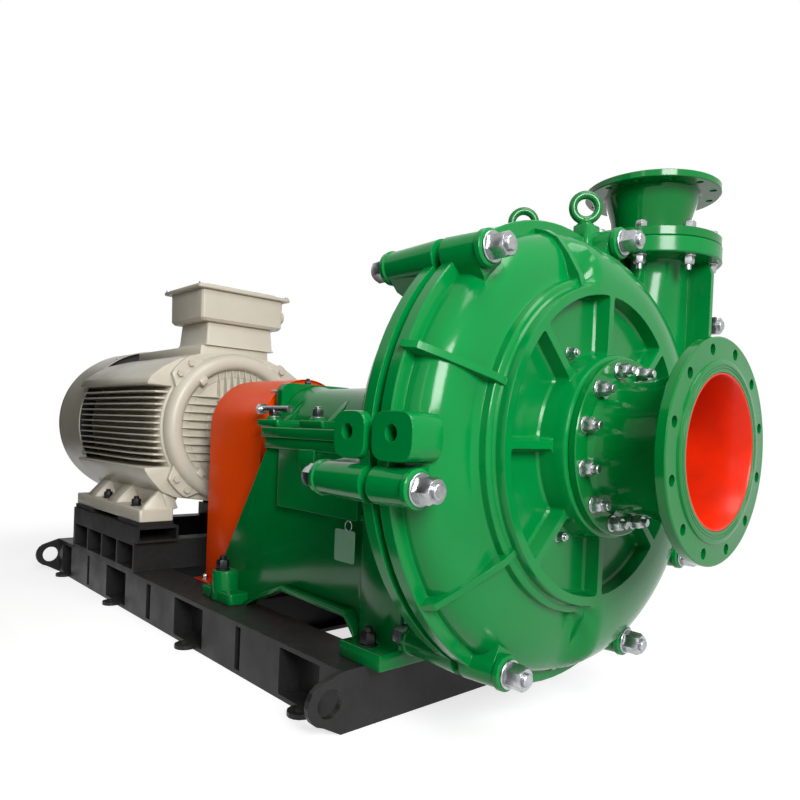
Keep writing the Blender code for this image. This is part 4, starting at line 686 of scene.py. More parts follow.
def round_bar(name: str, start: Vector, out: Vector, radius: float, length: float, steps: int = 24) -> Piece:
    """A short round bar with chamfered ends from a point in a direction.

    Args:
        name: The piece's name.
        start: The middle of its first end.
        out: The direction that it runs.
        radius: Its radius.
        length: Its length.
        steps: Facets round it.

    Returns:
        The bar.
    """
    edge = min(radius * 0.12, length * 0.25)
    rows = []
    for place, reach in ((0.0, radius - edge), (edge, radius), (length - edge, radius), (length, radius - edge)):
        rows.append([(a, b, place) for a, b in circle(reach, steps=steps)])
    made = loft(name, rows, 25.0)
    made.data.transform(Matrix.Translation(Vector(start)) @ Vector(out).to_track_quat("Z", "Y").to_matrix().to_4x4())
    return made


@dataclass(frozen=True)
class Finish:
    """A real surface: what it is, how it was made and how it takes light."""

    label: str
    slot: str
    base: str
    shade: str
    roughness: float = 0.3
    metallic: float = 0.0
    coat: float = 0.0
    grain_mm: float = 8.0
    grain_depth_mm: float = 0.15
    peel_mm: float = 0.0
    patch_mm: float = 160.0
    patch_share: float = 0.35
    edge_mm: float = 1.5
    dust: float = 0.0
    dust_hex: str = "#8C877C"
    ior: float = 1.5
    specular: float = 0.5

    def build(self) -> bpy.types.Material:
        """Makes the material.

        Returns:
            A procedural material in the object's own coordinates.
        """
        material = bpy.data.materials.new(self.label)
        material.use_nodes = True
        tree = material.node_tree
        tree.nodes.clear()
        place = add_node(tree, "ShaderNodeTexCoord").outputs["Object"]
        patches = add_node(
            tree, "ShaderNodeTexNoise", {"Scale": 1000 / self.patch_mm, "Detail": 4.0, "Roughness": 0.55},
            {"Vector": place}
        )
        spread = add_node(
            tree, "ShaderNodeMapRange",
            {"From Min": 0.35, "From Max": 0.68, "To Min": 0.0, "To Max": self.patch_share},
            {"Value": patches.outputs["Fac"]}
        )
        colour = add_node(
            tree, "ShaderNodeMix",
            {"data_type": "RGBA", "blend_type": "MIX", MIX_FIRST: srgb(self.base), MIX_SECOND: srgb(self.shade)},
            {"Factor": spread.outputs["Result"]}
        )
        shown = colour.outputs[2]
        rough = add_node(
            tree, "ShaderNodeMapRange",
            {"From Min": 0.3, "From Max": 0.7, "To Min": self.roughness * 0.85, "To Max": self.roughness * 1.25},
            {"Value": patches.outputs["Fac"]}
        ).outputs["Result"]
        if self.dust > 0:
            shown, rough = self.add_dust(tree, place, shown, rough)
        normal = self.add_relief(tree, place)
        shader = add_node(
            tree, "ShaderNodeBsdfPrincipled",
            {"Metallic": self.metallic, "Coat Weight": self.coat, "Coat Roughness": 0.06},
            {"Base Color": shown, "Roughness": rough, "Normal": normal}
        )
        if not self.metallic:
            shader.inputs["IOR"].default_value = self.ior
            shader.inputs["Specular IOR Level"].default_value = self.specular
        add_node(tree, "ShaderNodeOutputMaterial", {}, {"Surface": shader.outputs["BSDF"]})
        return material

    def add_dust(self, tree: Tree, place: Socket, shown: Socket, rough: Socket) -> tuple[Socket, Socket]:
        """Lays workshop dust on what faces up.

        Args:
            tree: The material's nodes.
            place: The object's coordinates.
            shown: The colour so far.
            rough: The roughness so far.

        Returns:
            The dusty colour and roughness.
        """
        facing = add_node(
            tree, "ShaderNodeSeparateXYZ", {}, {"Vector": add_node(tree, "ShaderNodeNewGeometry").outputs["Normal"]}
        )
        lying = add_node(
            tree, "ShaderNodeMapRange", {"From Min": 0.2, "From Max": 1.0, "To Min": 0.25, "To Max": 1.0},
            {"Value": facing.outputs["Z"]}
        )
        specks = add_node(
            tree, "ShaderNodeTexNoise", {"Scale": 55.0, "Detail": 6.0, "Roughness": 0.7}, {"Vector": place}
        )
        thick = add_node(
            tree, "ShaderNodeMapRange", {"From Min": 0.42, "From Max": 0.75, "To Min": 0.0, "To Max": self.dust},
            {"Value": specks.outputs["Fac"]}
        )
        amount = add_node(
            tree, "ShaderNodeMath", {"operation": "MULTIPLY"},
            {0: lying.outputs["Result"], 1: thick.outputs["Result"]}
        ).outputs["Value"]
        dusty = add_node(
            tree, "ShaderNodeMix", {"data_type": "RGBA", MIX_SECOND: srgb(self.dust_hex)},
            {"Factor": amount, MIX_FIRST: shown}
        )
        dull = add_node(tree, "ShaderNodeMath", {"operation": "MULTIPLY_ADD", 1: 0.5}, {0: amount, 2: rough})
        return dusty.outputs[2], dull.outputs["Value"]

    def add_relief(self, tree: Tree, place: Socket) -> Socket:
        """Gives the surface its grain, its orange peel and its soft edges.

        Args:
            tree: The material's nodes.
            place: The object's coordinates.

        Returns:
            The normal.
        """
        normal = add_node(tree, "ShaderNodeBevel", {"samples": 4, "Radius": self.edge_mm / 1000}).outputs["Normal"]
        grain = add_node(
            tree, "ShaderNodeTexNoise", {"Scale": 1000 / self.grain_mm, "Detail": 3.0}, {"Vector": place}
        )
        normal = add_node(
            tree, "ShaderNodeBump", {"Strength": 1.0, "Distance": self.grain_depth_mm / 1000},
            {"Height": grain.outputs["Fac"], "Normal": normal}
        ).outputs["Normal"]
        if self.peel_mm > 0:
            peel = add_node(
                tree, "ShaderNodeTexVoronoi", {"feature": "SMOOTH_F1", "Scale": 1000 / self.peel_mm},
                {"Vector": place}
            )
            normal = add_node(
                tree, "ShaderNodeBump", {"Strength": 0.5, "Distance": 0.00005},
                {"Height": peel.outputs["Distance"], "Normal": normal}
            ).outputs["Normal"]
        return normal


@dataclass(frozen=True)
class LinedFinish(Finish):
    """A finish with fine parallel lines: thread, turning marks, stacked sheets or braid."""

    line_mm: float = 3.0
    line_axis: str = "X"
    line_depth_mm: float = 0.25

    def add_relief(self, tree: Tree, place: Socket) -> Socket:
        """Adds the lines over the plain relief.

        Args:
            tree: The material's nodes.
            place: The object's coordinates.

        Returns:
            The normal.
        """
        normal = super().add_relief(tree, place)
        lines = add_node(
            tree, "ShaderNodeTexWave",
            {
                "wave_type": "BANDS", "bands_direction": self.line_axis, "Scale": WAVE_PER_MM / self.line_mm,
                "Distortion": 0.0
            },
            {"Vector": place}
        )
        return add_node(
            tree, "ShaderNodeBump", {"Strength": 0.8, "Distance": self.line_depth_mm / 1000},
            {"Height": lines.outputs["Fac"], "Normal": normal}
        ).outputs["Normal"]


# Alkyd gloss enamel sprayed over sand castings: deep wet green, faint casting skin under it
CAST_GREEN = Finish(
    "sprayed_enamel_on_sand_casting", "casing_enamel", "#007A36", "#00662C", 0.17, 0.0, 0.08, 9.0, 0.1, 5.0, 240.0,
    0.35, 2.5, specular=0.2
)
# The same enamel on turned and welded steel: smoother, with sharper reflections
SMOOTH_GREEN = Finish(
    "sprayed_enamel_on_machined_steel", "casing_enamel", "#006E2C", "#005A24", 0.12, 0.0, 0.12, 30.0, 0.05, 5.0,
    240.0, 0.3, 1.2, specular=0.22
)
# Orange alkyd enamel on folded sheet steel: satin, slight waviness of the sheet
SHEET_ORANGE = Finish(
    "brushed_enamel_on_folded_sheet", "guard_enamel", "#F04A00", "#DA3E00", 0.3, 0.0, 0.05, 60.0, 0.3, 4.0, 260.0,
    0.35, 1.5, specular=0.15
)
# Warm grey factory enamel on cast iron: eggshell sheen with fine sand grain
MOTOR_GREY = Finish(
    "stoved_enamel_on_cast_iron", "motor_enamel", "#C6C0B0", "#B4AD9C", 0.36, 0.0, 0.0, 4.0, 0.12, 0.0, 200.0, 0.4,
    1.5
)
# Charcoal primer-surfacer rolled on welded plate: satin black with dust on the flats
SKID_BLACK = Finish(
    "rolled_paint_on_welded_plate", "skid_paint", "#232323", "#181818", 0.42, 0.0, 0.0, 25.0, 0.25, 6.0, 120.0, 0.6,
    2.0, 0.1, specular=0.25
)
# Electro-plated zinc on forged steel: pale silver with a blue cast and slight clouding
ZINC = Finish(
    "zinc_plated_forged_steel", "zinc_steel", "#B4B6B8", "#8C8E90", 0.28, 1.0, 0.0, 5.0, 0.1, 0.0, 14.0, 0.6, 0.8
)
# Ground and turned carbon steel: bright, with fine rings round the shaft
TURNED_STEEL = LinedFinish(
    "turned_carbon_steel", "bright_steel", "#C2C0BC", "#8E8C88", 0.24, 1.0, 0.0, 6.0, 0.05, 0.0, 40.0, 0.5, 0.8,
    line_mm=1.5, line_depth_mm=0.03
)
# High-chrome white iron as cast: dull grey metal with a pitted skin
WHITE_IRON = Finish(
    "high_chrome_white_iron", "white_iron", "#8A8884", "#5E5C58", 0.5, 0.85, 0.0, 5.0, 0.35, 0.0, 60.0, 0.6, 2.0
)
# Black oxide on foundation bolts and fittings: dark with a faint oily sheen
BLACK_OXIDE = Finish(
    "black_oxide_steel", "zinc_steel", "#2A2A2C", "#17171A", 0.38, 0.6, 0.0, 4.0, 0.1, 0.0, 30.0, 0.5, 0.8
)
# Poured red polyurethane lining: smooth, saturated, soft sheen
RED_LINING = Finish(
    "poured_red_lining", "suction_lining", "#D62606", "#B01C02", 0.34, 0.0, 0.05, 20.0, 0.1, 0.0, 130.0, 0.8, 1.0,
    specular=0.2
)
# Laser-cut silicon steel sheets in a stack, each 0.5 mm, drawn at 3 mm
LAMINATED = LinedFinish(
    "stacked_electrical_steel", "electrical_steel", "#77787D", "#4E4F55", 0.5, 0.7, 0.0, 5.0, 0.1, 0.0, 40.0, 0.5,
    0.5, line_mm=3.0
)
# Braided packing soaked in grease: matt tan with a 6 mm weave
PACKING = LinedFinish(
    "braided_greased_yarn", "packing_yarn", "#9A8A66", "#6E6146", 0.85, 0.0, 0.0, 3.0, 0.4, 0.0, 20.0, 0.6, 0.5,
    line_mm=6.0, line_depth_mm=0.8
)
# Moulded polypropylene fan: matt black
FAN_BLACK = Finish(
    "moulded_polypropylene", "fan_plastic", "#262626", "#1B1B1B", 0.55, 0.0, 0.0, 6.0, 0.05, 0.0, 80.0, 0.4, 0.8
)
# Pale green anodised blank plate hung on the bracket
TAG_GREEN = Finish(
    "anodised_blank_plate", "zinc_steel", "#9ED6AE", "#86C69A", 0.35, 0.3, 0.0, 10.0, 0.05, 0.0, 20.0, 0.3, 0.4
)


class Paintshop:
    """Makes each finish once and dresses pieces with it."""

    def __init__(self) -> None:
        """Starts with no materials made."""
        self.made: dict[str, bpy.types.Material] = {}

    def material(self, finish: Finish) -> bpy.types.Material:
        """The material of a finish, made on its first use.

        Args:
            finish: The finish.

        Returns:
            Its material.
        """
        if finish.label not in self.made:
            self.made[finish.label] = finish.build()
        return self.made[finish.label]

    def fit(self, piece: Piece, finish: Finish, nodes: Sequence[str] = (), body: Body = Body.BASE) -> Piece:
        """Dresses a piece, puts it on its body and reports it.

        Args:
            piece: The piece, in place.
            finish: Its finish.
            nodes: The solids that it stands for.
            body: The body that it moves with.

        Returns:
            The piece.
        """
        piece.data.materials.clear()
        piece.data.materials.append(self.material(finish))
        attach(piece, body.value)
        if nodes:
            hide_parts(*nodes)
        LOG.info("%s: %s, %d faces", piece.name, finish.label, len(piece.data.polygons))
        return piece

    def redress(self, node: Piece, finish: Finish) -> None:
        """Gives a carried-over solid its finish.

        Args:
            node: The solid.
            finish: Its finish.
        """
        for holder in node.material_slots:
            holder.material = self.material(finish)
        if not node.material_slots:
            node.data.materials.append(self.material(finish))
        LOG.info("%s: %s", node.name, finish.label)


def spiral_growth(degrees: float) -> float:
    """How far the volute has grown beyond its starting radius at an angle about the shaft.

    Args:
        degrees: The angle about the shaft.

    Returns:
        The growth in metres.
    """
    turned = (degrees - 72) % 360
    if turned <= 280:
        return 0.098 * turned / 360
    return 0.0762 * (1 - ease((turned - 280) / 80))


def ease(share: float) -> float:
    """A smooth step from 0 to 1."""
    held = min(1.0, max(0.0, share))
    return held * held * (3 - 2 * held)


def radial_rib(name: str, degrees: float, outline: Sequence[Flat], half: float) -> Piece:
    """A flat rib that stands in a plane through the shaft axis.

    Args:
        name: The piece's name.
        degrees: The plane's angle about the shaft.
        outline: (distance back, radius) points.
        half: Half the rib's thickness.

    Returns:
        The rib.
    """
    c, s = math.cos(math.radians(degrees)), math.sin(math.radians(degrees))
    loops = [[(back(d), r * c - side * s, up(r * s + side * c)) for d, r in outline] for side in (-half, half)]
    return loft(name, loops)


@dataclass
class TieBolt:
    """One long stud that clamps the casing halves."""

    y: float
    z: float
    turn: float


@dataclass
class PumpCasing:
    """The split casing: two glossy green castings with pockets, ribs, lugs and bosses."""

    shop: Paintshop
    boss_face: float = 0.2212
    ring_face: float = 0.25
    ring_radius: float = 0.351
    flange_front: float = 0.375
    split_front: float = 0.405
    split_rear: float = 0.427
    flange_rear: float = 0.457
    boss_radius: float = 0.036
    boss_front: float = 0.3
    boss_rear: float = 0.59
    neck_y: float = 0.462
    neck_top: float = 0.503
    flange_top: float = 0.5447
    eye_y: float = 0.095
    eye_top: float = 0.53
    steps: int = 180
    bolts: tuple[TieBolt, ...] = (
        TieBolt(0.12, 0.482, 8), TieBolt(-0.352, 0.372, 20), TieBolt(-0.517, -0.085, 5), TieBolt(-0.244, -0.467, 25),
        TieBolt(0.217, -0.481, 12), TieBolt(0.505, -0.295, 18), TieBolt(0.578, 0.344, 2)
    )

    def build(self) -> None:
        """Casts both halves and fits the liner screws and the tie bolts."""
        self.shop.fit(self.build_front(), CAST_GREEN, ["front_casing"])
        self.shop.fit(self.build_rear(), CAST_GREEN, ["rear_casing"])
        self.build_face_bolts()
        self.build_tie_bolts()

    @property
    def middle(self) -> float:
        """The X of the split plane's middle, which the neck stands on."""
        return back((self.split_front + self.split_rear) / 2)

    def front_section(self, degrees: float) -> Profile:
        """The front half's section: stepped on the left, one smooth cone on the right.

        Args:
            degrees: The angle about the shaft.

        Returns:
            The closed outline.
        """
        stair = (
            (0.252, 0.349), (0.256, 0.351), (0.272, 0.3515), (0.2765, 0.3555), (0.277, 0.363), (0.281, 0.3675),
            (0.296, 0.369), (0.3005, 0.375), (0.302, 0.385), (0.306, 0.408), (0.315, 0.432), (0.33, 0.452),
            (0.35, 0.4655), (0.378, 0.471), (0.408, 0.4712)
        )
        cone = (
            (0.2495, 0.354), (0.25, 0.365), (0.2515, 0.376), (0.254, 0.387), (0.2575, 0.3975), (0.262, 0.4075),
            (0.268, 0.417), (0.2755, 0.426), (0.285, 0.434), (0.297, 0.442), (0.312, 0.45), (0.331, 0.459),
            (0.353, 0.467), (0.378, 0.471), (0.408, 0.4712)
        )
        turned = (degrees + 180) % 360 - 180
        share = ease((turned + 96) / 8) * (1 - ease((turned - 97) / 8))
        growth = spiral_growth(degrees)
        outer = []
        for (d0, r0), (d1, r1) in zip(stair, cone):
            radius = r0 + (r1 - r0) * share
            radius += growth * ease((radius - 0.352) / 0.11)
            outer.append((back(d0 + (d1 - d0) * share), radius))
        hub = backs(
            (self.boss_face, 0.1225), (self.boss_face, 0.1945), (0.2225, 0.1975), (0.2265, 0.199), (0.25, 0.2)
        )
        shell = backs((0.408, 0.428), (0.33, 0.395), (0.306, 0.33), (0.306, 0.1225))
        return hub + outer + shell

    def rear_section(self, degrees: float) -> Profile:
        """The rear half's section, a plain bowl with a flat back.

        Args:
            degrees: The angle about the shaft.

        Returns:
            The closed outline.
        """
        growth = spiral_growth(degrees)
        bowl = (
            (0.424, 0.4715, 1.0), (0.47, 0.469, 1.0), (0.505, 0.46, 0.95), (0.532, 0.447, 0.85), (0.556, 0.425, 0.65),
            (0.574, 0.395, 0.4), (0.586, 0.365, 0.15), (0.592, 0.348, 0.0)
        )
        outer = [(back(d), r + growth * share) for d, r, share in bowl]
        inner = backs((0.592, 0.2), (0.56, 0.2), (0.55, 0.33), (0.47, 0.425), (0.424, 0.428))
        return (outer + inner)[::-1]

    def flange_outline(self, inset: float = 0.0) -> list[Flat]:
        """The split flange's outline: a growing spiral and the neck's sides.

        Args:
            inset: How far the outline is drawn in.

        Returns:
            Its (y, z) points.
        """
        outline = [polar(0.5 + 0.098 * (4 * k) / 360 - inset, 72 + 4 * k) for k in range(71)]
        outline += facing(
            (0.63 - inset, 0.06), (0.63 - inset, 0.33), (0.622 - inset, 0.4), (0.6 - inset, 0.455),
            (0.575 - inset, 0.506), (0.345 + inset, 0.506), (0.345 + inset, 0.47), (0.33 + inset, 0.43),
            (0.27, 0.433 - inset)
        )
        return outline

    def flange(self, name: str, low: float, high: float) -> Piece:
        """One split flange with a chamfered rim.

        Args:
            name: The piece's name.
            low: The X of its rear face.
            high: The X of its front face.

        Returns:
            The flange.
        """
        edge = 0.0025
        rows = []
        for place, inset in ((low, edge), (low + edge, 0.0), (high - edge, 0.0), (high, edge)):
            rows.append([(place, y, z) for y, z in self.flange_outline(inset)])
        ring = loft(name, rows, 30.0)
        hole = lathe(
            f"{name}_hole", [(low - 0.01, 0), (low - 0.01, 0.446), (high + 0.01, 0.446), (high + 0.01, 0)], self.steps
        )
        return carve(ring, hole)

    def neck(self) -> Piece:
        """The discharge neck, round at its flange and widening into the volute.

        Returns:
            The neck, not yet bored.
        """
        rows = []
        for height, half_x, half_y, shift in (
            (0.06, 0.104, 0.14, 0.0), (0.16, 0.104, 0.138, 0.002), (0.26, 0.104, 0.132, 0.004),
            (0.34, 0.104, 0.124, 0.004), (0.41, 0.104, 0.114, 0.003), (0.46, 0.104, 0.106, 0.001),
            (0.494, 0.106, 0.106, 0.0), (0.507, 0.116, 0.116, 0.0)
        ):
            middle_y = self.neck_y + shift
            rows.append(
                [(self.middle + half_x * a, middle_y + half_y * b, up(height)) for a, b in circle(1.0, steps=64)]
            )
        return loft("neck_outside", rows)

    def top_flange(self) -> Piece:
        """The neck's flange, with a shallow drip groove under its rim.

        Returns:
            The flange, not yet bored.
        """
        profile = ups(
            (self.neck_top, 0.0), (self.neck_top, 0.187), (self.neck_top + 0.003, 0.19),
            (self.flange_top - 0.003, 0.19), (self.flange_top, 0.187), (self.flange_top, 0.0)
        )
        return lathe("neck_flange", profile, 96, Along.Z, (self.middle, self.neck_y))

    def boss(self, bolt: TieBolt, front: bool) -> Piece:
        """One tie-bolt boss with a drafted side and a machined seat.

        Args:
            bolt: The tie bolt that it takes.
            front: Whether it is on the front half.

        Returns:
            The boss, not yet drilled.
        """
        seat, face = (self.boss_front, self.split_front + 0.001) if front else (
            self.boss_rear, self.split_rear - 0.001
        )
        way = 1 if front else -1
        profile = backs(
            (seat, 0.0), (seat, self.boss_radius - 0.0035), (seat + 0.003 * way, self.boss_radius + 0.001),
            (seat + 0.013 * way, self.boss_radius + 0.002), (seat + 0.017 * way, self.boss_radius - 0.0015),
            (face, self.boss_radius + 0.002), (face, 0.0)
        )
        return lathe(f"boss_{bolt.turn}", profile, 40, Along.X, (bolt.y, up(bolt.z)))

    def boss_web(self, bolt: TieBolt, front: bool) -> Piece:
        """The flat-sided web that carries a boss down to the casing, cut back under the nut.

        Args:
            bolt: The boss's tie bolt.
            front: Whether it is on the front half.

        Returns:
            The web.
        """
        inward = -Vector((bolt.y, bolt.z)).normalized()
        aside = Vector((-inward.y, inward.x)) * (self.boss_radius - 0.0022)
        axis = Vector((bolt.y, up(bolt.z)))
        if front:
            places = (
                (self.boss_front + 0.02, 0.04), (self.boss_front + 0.05, 0.092), (self.split_front + 0.0013, 0.092)
            )
        else:
            places = (
                (self.boss_rear - 0.02, 0.04), (self.boss_rear - 0.06, 0.092), (self.split_rear - 0.0013, 0.092)
            )
        rows = []
        for place, reach in places:
            corners = (axis + aside, axis - aside, axis - aside + inward * reach, axis + aside + inward * reach)
            rows.append([(back(place), corner.x, corner.y) for corner in corners])
        return loft("boss_web", rows)

    def lifting_boss(self, place: float, near: float, far: float) -> Piece:
        """The block under a lifting eye, rounded in plan.

        Args:
            place: How far back its eye stands.
            near: Its front face, back from the suction face.
            far: Its rear face.

        Returns:
            The block.
        """
        outline = rounded_box((back(far), self.eye_y - 0.028), (back(near), self.eye_y + 0.028), 0.012)
        rows = [[(x, y, up(height)) for x, y in outline] for height in (0.4, self.eye_top - 0.002, self.eye_top)]
        middle = Vector((back(place), self.eye_y, 0))
        rows[2] = [tuple(middle + (Vector(p) - middle) * 0.96)[:2] + (up(self.eye_top),) for p in rows[2]]
        return loft("lifting_boss", rows)

    def side_lug(self, front: bool) -> Piece:
        """The flat lug on the casing's side, rounded at its outer corners.

        Args:
            front: Whether it is on the front half.

        Returns:
            The lug, not yet drilled.
        """
        low, high = (back(self.split_front + 0.002), back(0.2955)) if front else (
            back(0.52), back(self.split_rear - 0.002)
        )
        outline = rounded_box((low, up(-0.04)), (high, up(0.052)), 0.036, 7)
        rows = []
        for y, inset in ((-0.47, 1.0), (-0.541, 1.0), (-0.5445, 0.975)):
            middle = Vector(((low + high) / 2, up(0.006)))
            rows.append([((Vector(p) - middle) * inset + middle).to_tuple() for p in outline])
            rows[-1] = [(x, y, z) for x, z in rows[-1]]
        return loft("side_lug", rows)

    def drill(self, front: bool) -> list[Piece]:
        """The cores and drills of one half.

        Args:
            front: Whether it is the front half.

        Returns:
            The cutting shapes.
        """
        cavity = backs(
            (0.3022, 0.0), (0.3022, 0.3385), (0.329, 0.4035), (0.371, 0.435), (0.461, 0.435), (0.529, 0.4045),
            (0.5698, 0.3385), (0.5698, 0.0)
        )
        neck_bore = ups((-0.01, 0), (-0.01, 0.0808), (0.6, 0.0808), (0.6, 0))
        found = [lathe("cavity", cavity, 96), lathe("neck_bore", neck_bore, 48, Along.Z, (self.middle, self.neck_y))]
        bolt_holes = [
            self.bar(back(0.7), back(0.2), 0.0175, (bolt.y, up(bolt.z)), Along.X, 20) for bolt in self.bolts
        ]
        found.append(gather("bolt_holes", bolt_holes))
        eye = (back(0.39), self.eye_y) if front else (back(0.577), self.eye_y)
        found.append(self.bar(up(0.5), up(0.56), 0.0095, eye, Along.Z, 20))
        lug = (back(0.352), up(0.012)) if front else (back(0.478), up(0.012))
        found.append(self.bar(-0.6, -0.4, 0.016, lug, Along.Y, 24))
        bore = 0.1215 if front else 0.19
        ends = (back(0.32), back(0.18)) if front else (back(0.64), back(0.54))
        found.append(self.bar(ends[0], ends[1], bore, SHAFT, Along.X, 96))
        return found

    @staticmethod
    def bar(low: float, high: float, radius: float, centre: Flat, along: Along, steps: int) -> Piece:
        """A plain round cutter."""
        return lathe("drill", [(low, 0.0), (low, radius), (high, radius), (high, 0.0)], steps, along, centre)

    def pockets(self) -> list[Piece]:
        """The eight cast pockets of the front face, with draft and rounded corners.

        Returns:
            The cores that leave the pockets.
        """
        found = []
        for k in range(8):
            rows = []
            for depth, inset in ((-0.03, -0.004), (0.0, 0.0), (0.031, 0.003), (0.036, 0.008)):
                corners = []
                inner, outer = 0.2 + max(inset, 0) * 0.9, 0.33 - inset
                for radius, order in ((outer, 1), (inner, -1)):
                    edge = math.degrees((0.0085 + inset) / radius)
                    shares = [j / 8 for j in range(9)][::order]
                    for share in shares:
                        corners.append(polar(radius, 45 * k + edge + (45 - 2 * edge) * share))
                eased = rounded(corners, 0.01, 4, (0, 8, 9, 17), 0.8)
                rows.append([(back(self.ring_face + depth), y, z) for y, z in eased])
            found.append(loft(f"pocket_{k}", rows))
        return found

    def outer_ribs(self) -> list[Piece]:
        """The ribs that run over the bulge to the flange.

        Returns:
            The ribs.
        """
        found = []
        for degrees, start, height in (
            (160.5, 0.345, 0.536), (-143.0, 0.35, 0.538), (104.0, 0.345, 0.492), (-92.5, 0.35, 0.53)
        ):
            outline = [
                (0.34, start - 0.01), (0.268, start), (0.272, start + 0.03), (0.295, start + 0.08),
                (0.318, min(height - 0.03, start + 0.13)), (0.345, height - 0.012), (0.379, height),
                (0.379, start + 0.06)
            ]
            found.append(radial_rib(f"outer_rib_{degrees}", degrees, outline, 0.0075))
        return found

    def build_front(self) -> Piece:
        """Casts the front half.

        Returns:
            The finished casting.
        """
        body = swept_ring("front_casting", self.front_section, self.steps)
        line = ((0.4, 0.06), (0.252, 0.1), (0.25, 0.14), (0.25, 0.47), (0.262, 0.506), (0.4, 0.506))
        rib = loft("neck_rib", [[(back(d), y, up(z)) for d, z in line] for y in (0.493, 0.507)])
        unite(
            body, self.flange("front_flange", back(self.split_front + 0.002), back(self.flange_front)), self.neck(),
            self.top_flange(), gather("bosses", [self.boss(bolt, True) for bolt in self.bolts]),
            gather("boss_webs", [self.boss_web(bolt, True) for bolt in self.bolts]),
            self.lifting_boss(0.39, 0.362, 0.41), self.side_lug(True), gather("outer_ribs", self.outer_ribs()), rib
        )
        beyond = slab("beyond_split", (-0.5, -1.0, -0.2), (back(self.split_front), 1.2, 2.0))
        return carve(body, *self.drill(True), gather("pockets", self.pockets()), beyond)

    def build_rear(self) -> Piece:
        """Casts the rear half.

        Returns:
            The finished casting.
        """
        body = swept_ring("rear_casting", self.rear_section, self.steps)
        unite(
            body, self.flange("rear_flange", back(self.flange_rear), back(self.split_rear - 0.002)), self.neck(),
            self.top_flange(), gather("bosses", [self.boss(bolt, False) for bolt in self.bolts]),
            gather("boss_webs", [self.boss_web(bolt, False) for bolt in self.bolts]),
            self.lifting_boss(0.577, 0.5, 0.589), self.side_lug(False)
        )
        beyond = slab("beyond_split", (back(self.split_rear), -1.0, -0.2), (2.0, 1.2, 2.0))
        return carve(body, *self.drill(False), beyond)

    def build_face_bolts(self) -> None:
        """Two small hexagon screws that hold the liner, on the pocket floors."""
        for k, (degrees, radius) in enumerate(((117.5, 0.222), (-121.0, 0.226))):
            y, z = polar(radius, degrees)
            loose = fastener(f"liner_screw_{k}", (back(0.2865), y, z), AHEAD, 0.02, 0.006)
            self.shop.fit(gather(f"liner_screw_{k + 1}", loose), ZINC)

    def build_tie_bolts(self) -> None:
        """Fits each stud with its two nuts and washers."""
        for k, bolt in enumerate(self.bolts):
            y, z = bolt.y, up(bolt.z)
            start = (back(self.boss_front) + 0.0003, y, z)
            end = (back(self.boss_rear) - 0.0003, y, z)
            loose = fastener(f"front_{k}", start, AHEAD, 0.0465, 0.007, True, bolt.turn)
            loose += fastener(f"rear_{k}", end, -AHEAD, 0.0465, 0.007, True, bolt.turn + 13)
            loose.append(
                lathe(f"stud_{k}", backs((0.61, 0), (0.61, 0.015), (0.28, 0.015), (0.28, 0)), 24, Along.X, (y, z))
            )
            self.shop.fit(gather(f"tie_stud_{k + 1}", loose), ZINC, [f"tie_bolt_{k + 1}"])


@dataclass
class SuctionAdapter:
    """The green taper pipe with its drilled flange, its red lining and its ring of nuts."""

    shop: Paintshop
    holes: int = 12
    hole_circle: float = 0.2
    nut_circle: float = 0.1665
    nut_face: float = 0.203

    def build(self) -> None:
        """Builds the adapter, its lining and its fasteners."""
        self.shop.fit(self.build_pipe(), SMOOTH_GREEN, ["suction_adapter"])
        self.shop.fit(self.build_lining(), RED_LINING, ["suction_lining"])
        loose = []
        for k, (y, z) in enumerate(circle(self.nut_circle, SHAFT, self.holes, 15)):
            loose += fastener(f"adapter_{k}", (back(self.nut_face), y, z), AHEAD, 0.027, 0.012, True, 7 * k)
        self.shop.fit(gather("adapter_nuts", loose), ZINC)

    def build_pipe(self) -> Piece:
        """The flanged pipe, turned and welded.

        Returns:
            The drilled pipe.
        """
        profile = backs(
            (0.0, 0.154), (0.0, 0.16), (0.0012, 0.1605), (0.0012, 0.1625), (0.0, 0.163), (0.0, 0.1655),
            (0.0012, 0.166), (0.0012, 0.168), (0.0, 0.1685), (0.0, 0.1765), (0.001, 0.178), (0.004, 0.1786),
            (0.0042, 0.18), (0.0042, 0.22), (0.0062, 0.2225), (0.0235, 0.2225), (0.026, 0.22), (0.026, 0.179),
            (0.028, 0.1755), (0.033, 0.1715), (0.036, 0.169), (0.07, 0.16), (0.118, 0.1447), (0.14, 0.1412),
            (0.19, 0.14), (0.1945, 0.1425), (0.199, 0.1462), (0.203, 0.149), (0.203, 0.1885), (0.205, 0.191),
            (0.2185, 0.191), (0.2204, 0.189), (0.2204, 0.1225), (0.14, 0.1255), (0.06, 0.1485)
        )
        pipe = lathe("suction_pipe", profile, 128)
        drills = [
            PumpCasing.bar(back(0.05), back(-0.02), 0.011, spot, Along.X, 24)
            for spot in circle(self.hole_circle, SHAFT, self.holes, 15)
        ]
        return carve(pipe, *drills)

    def build_lining(self) -> Piece:
        """The poured lining of the bore.

        Returns:
            The lining.
        """
        profile = backs(
            (0.0006, 0.1532), (0.06, 0.1476), (0.14, 0.1246), (0.2195, 0.1216), (0.2195, 0.1166), (0.14, 0.1196),
            (0.06, 0.1426), (0.004, 0.1478), (0.0006, 0.1505)
        )
        return lathe("bore_lining", profile, 128)


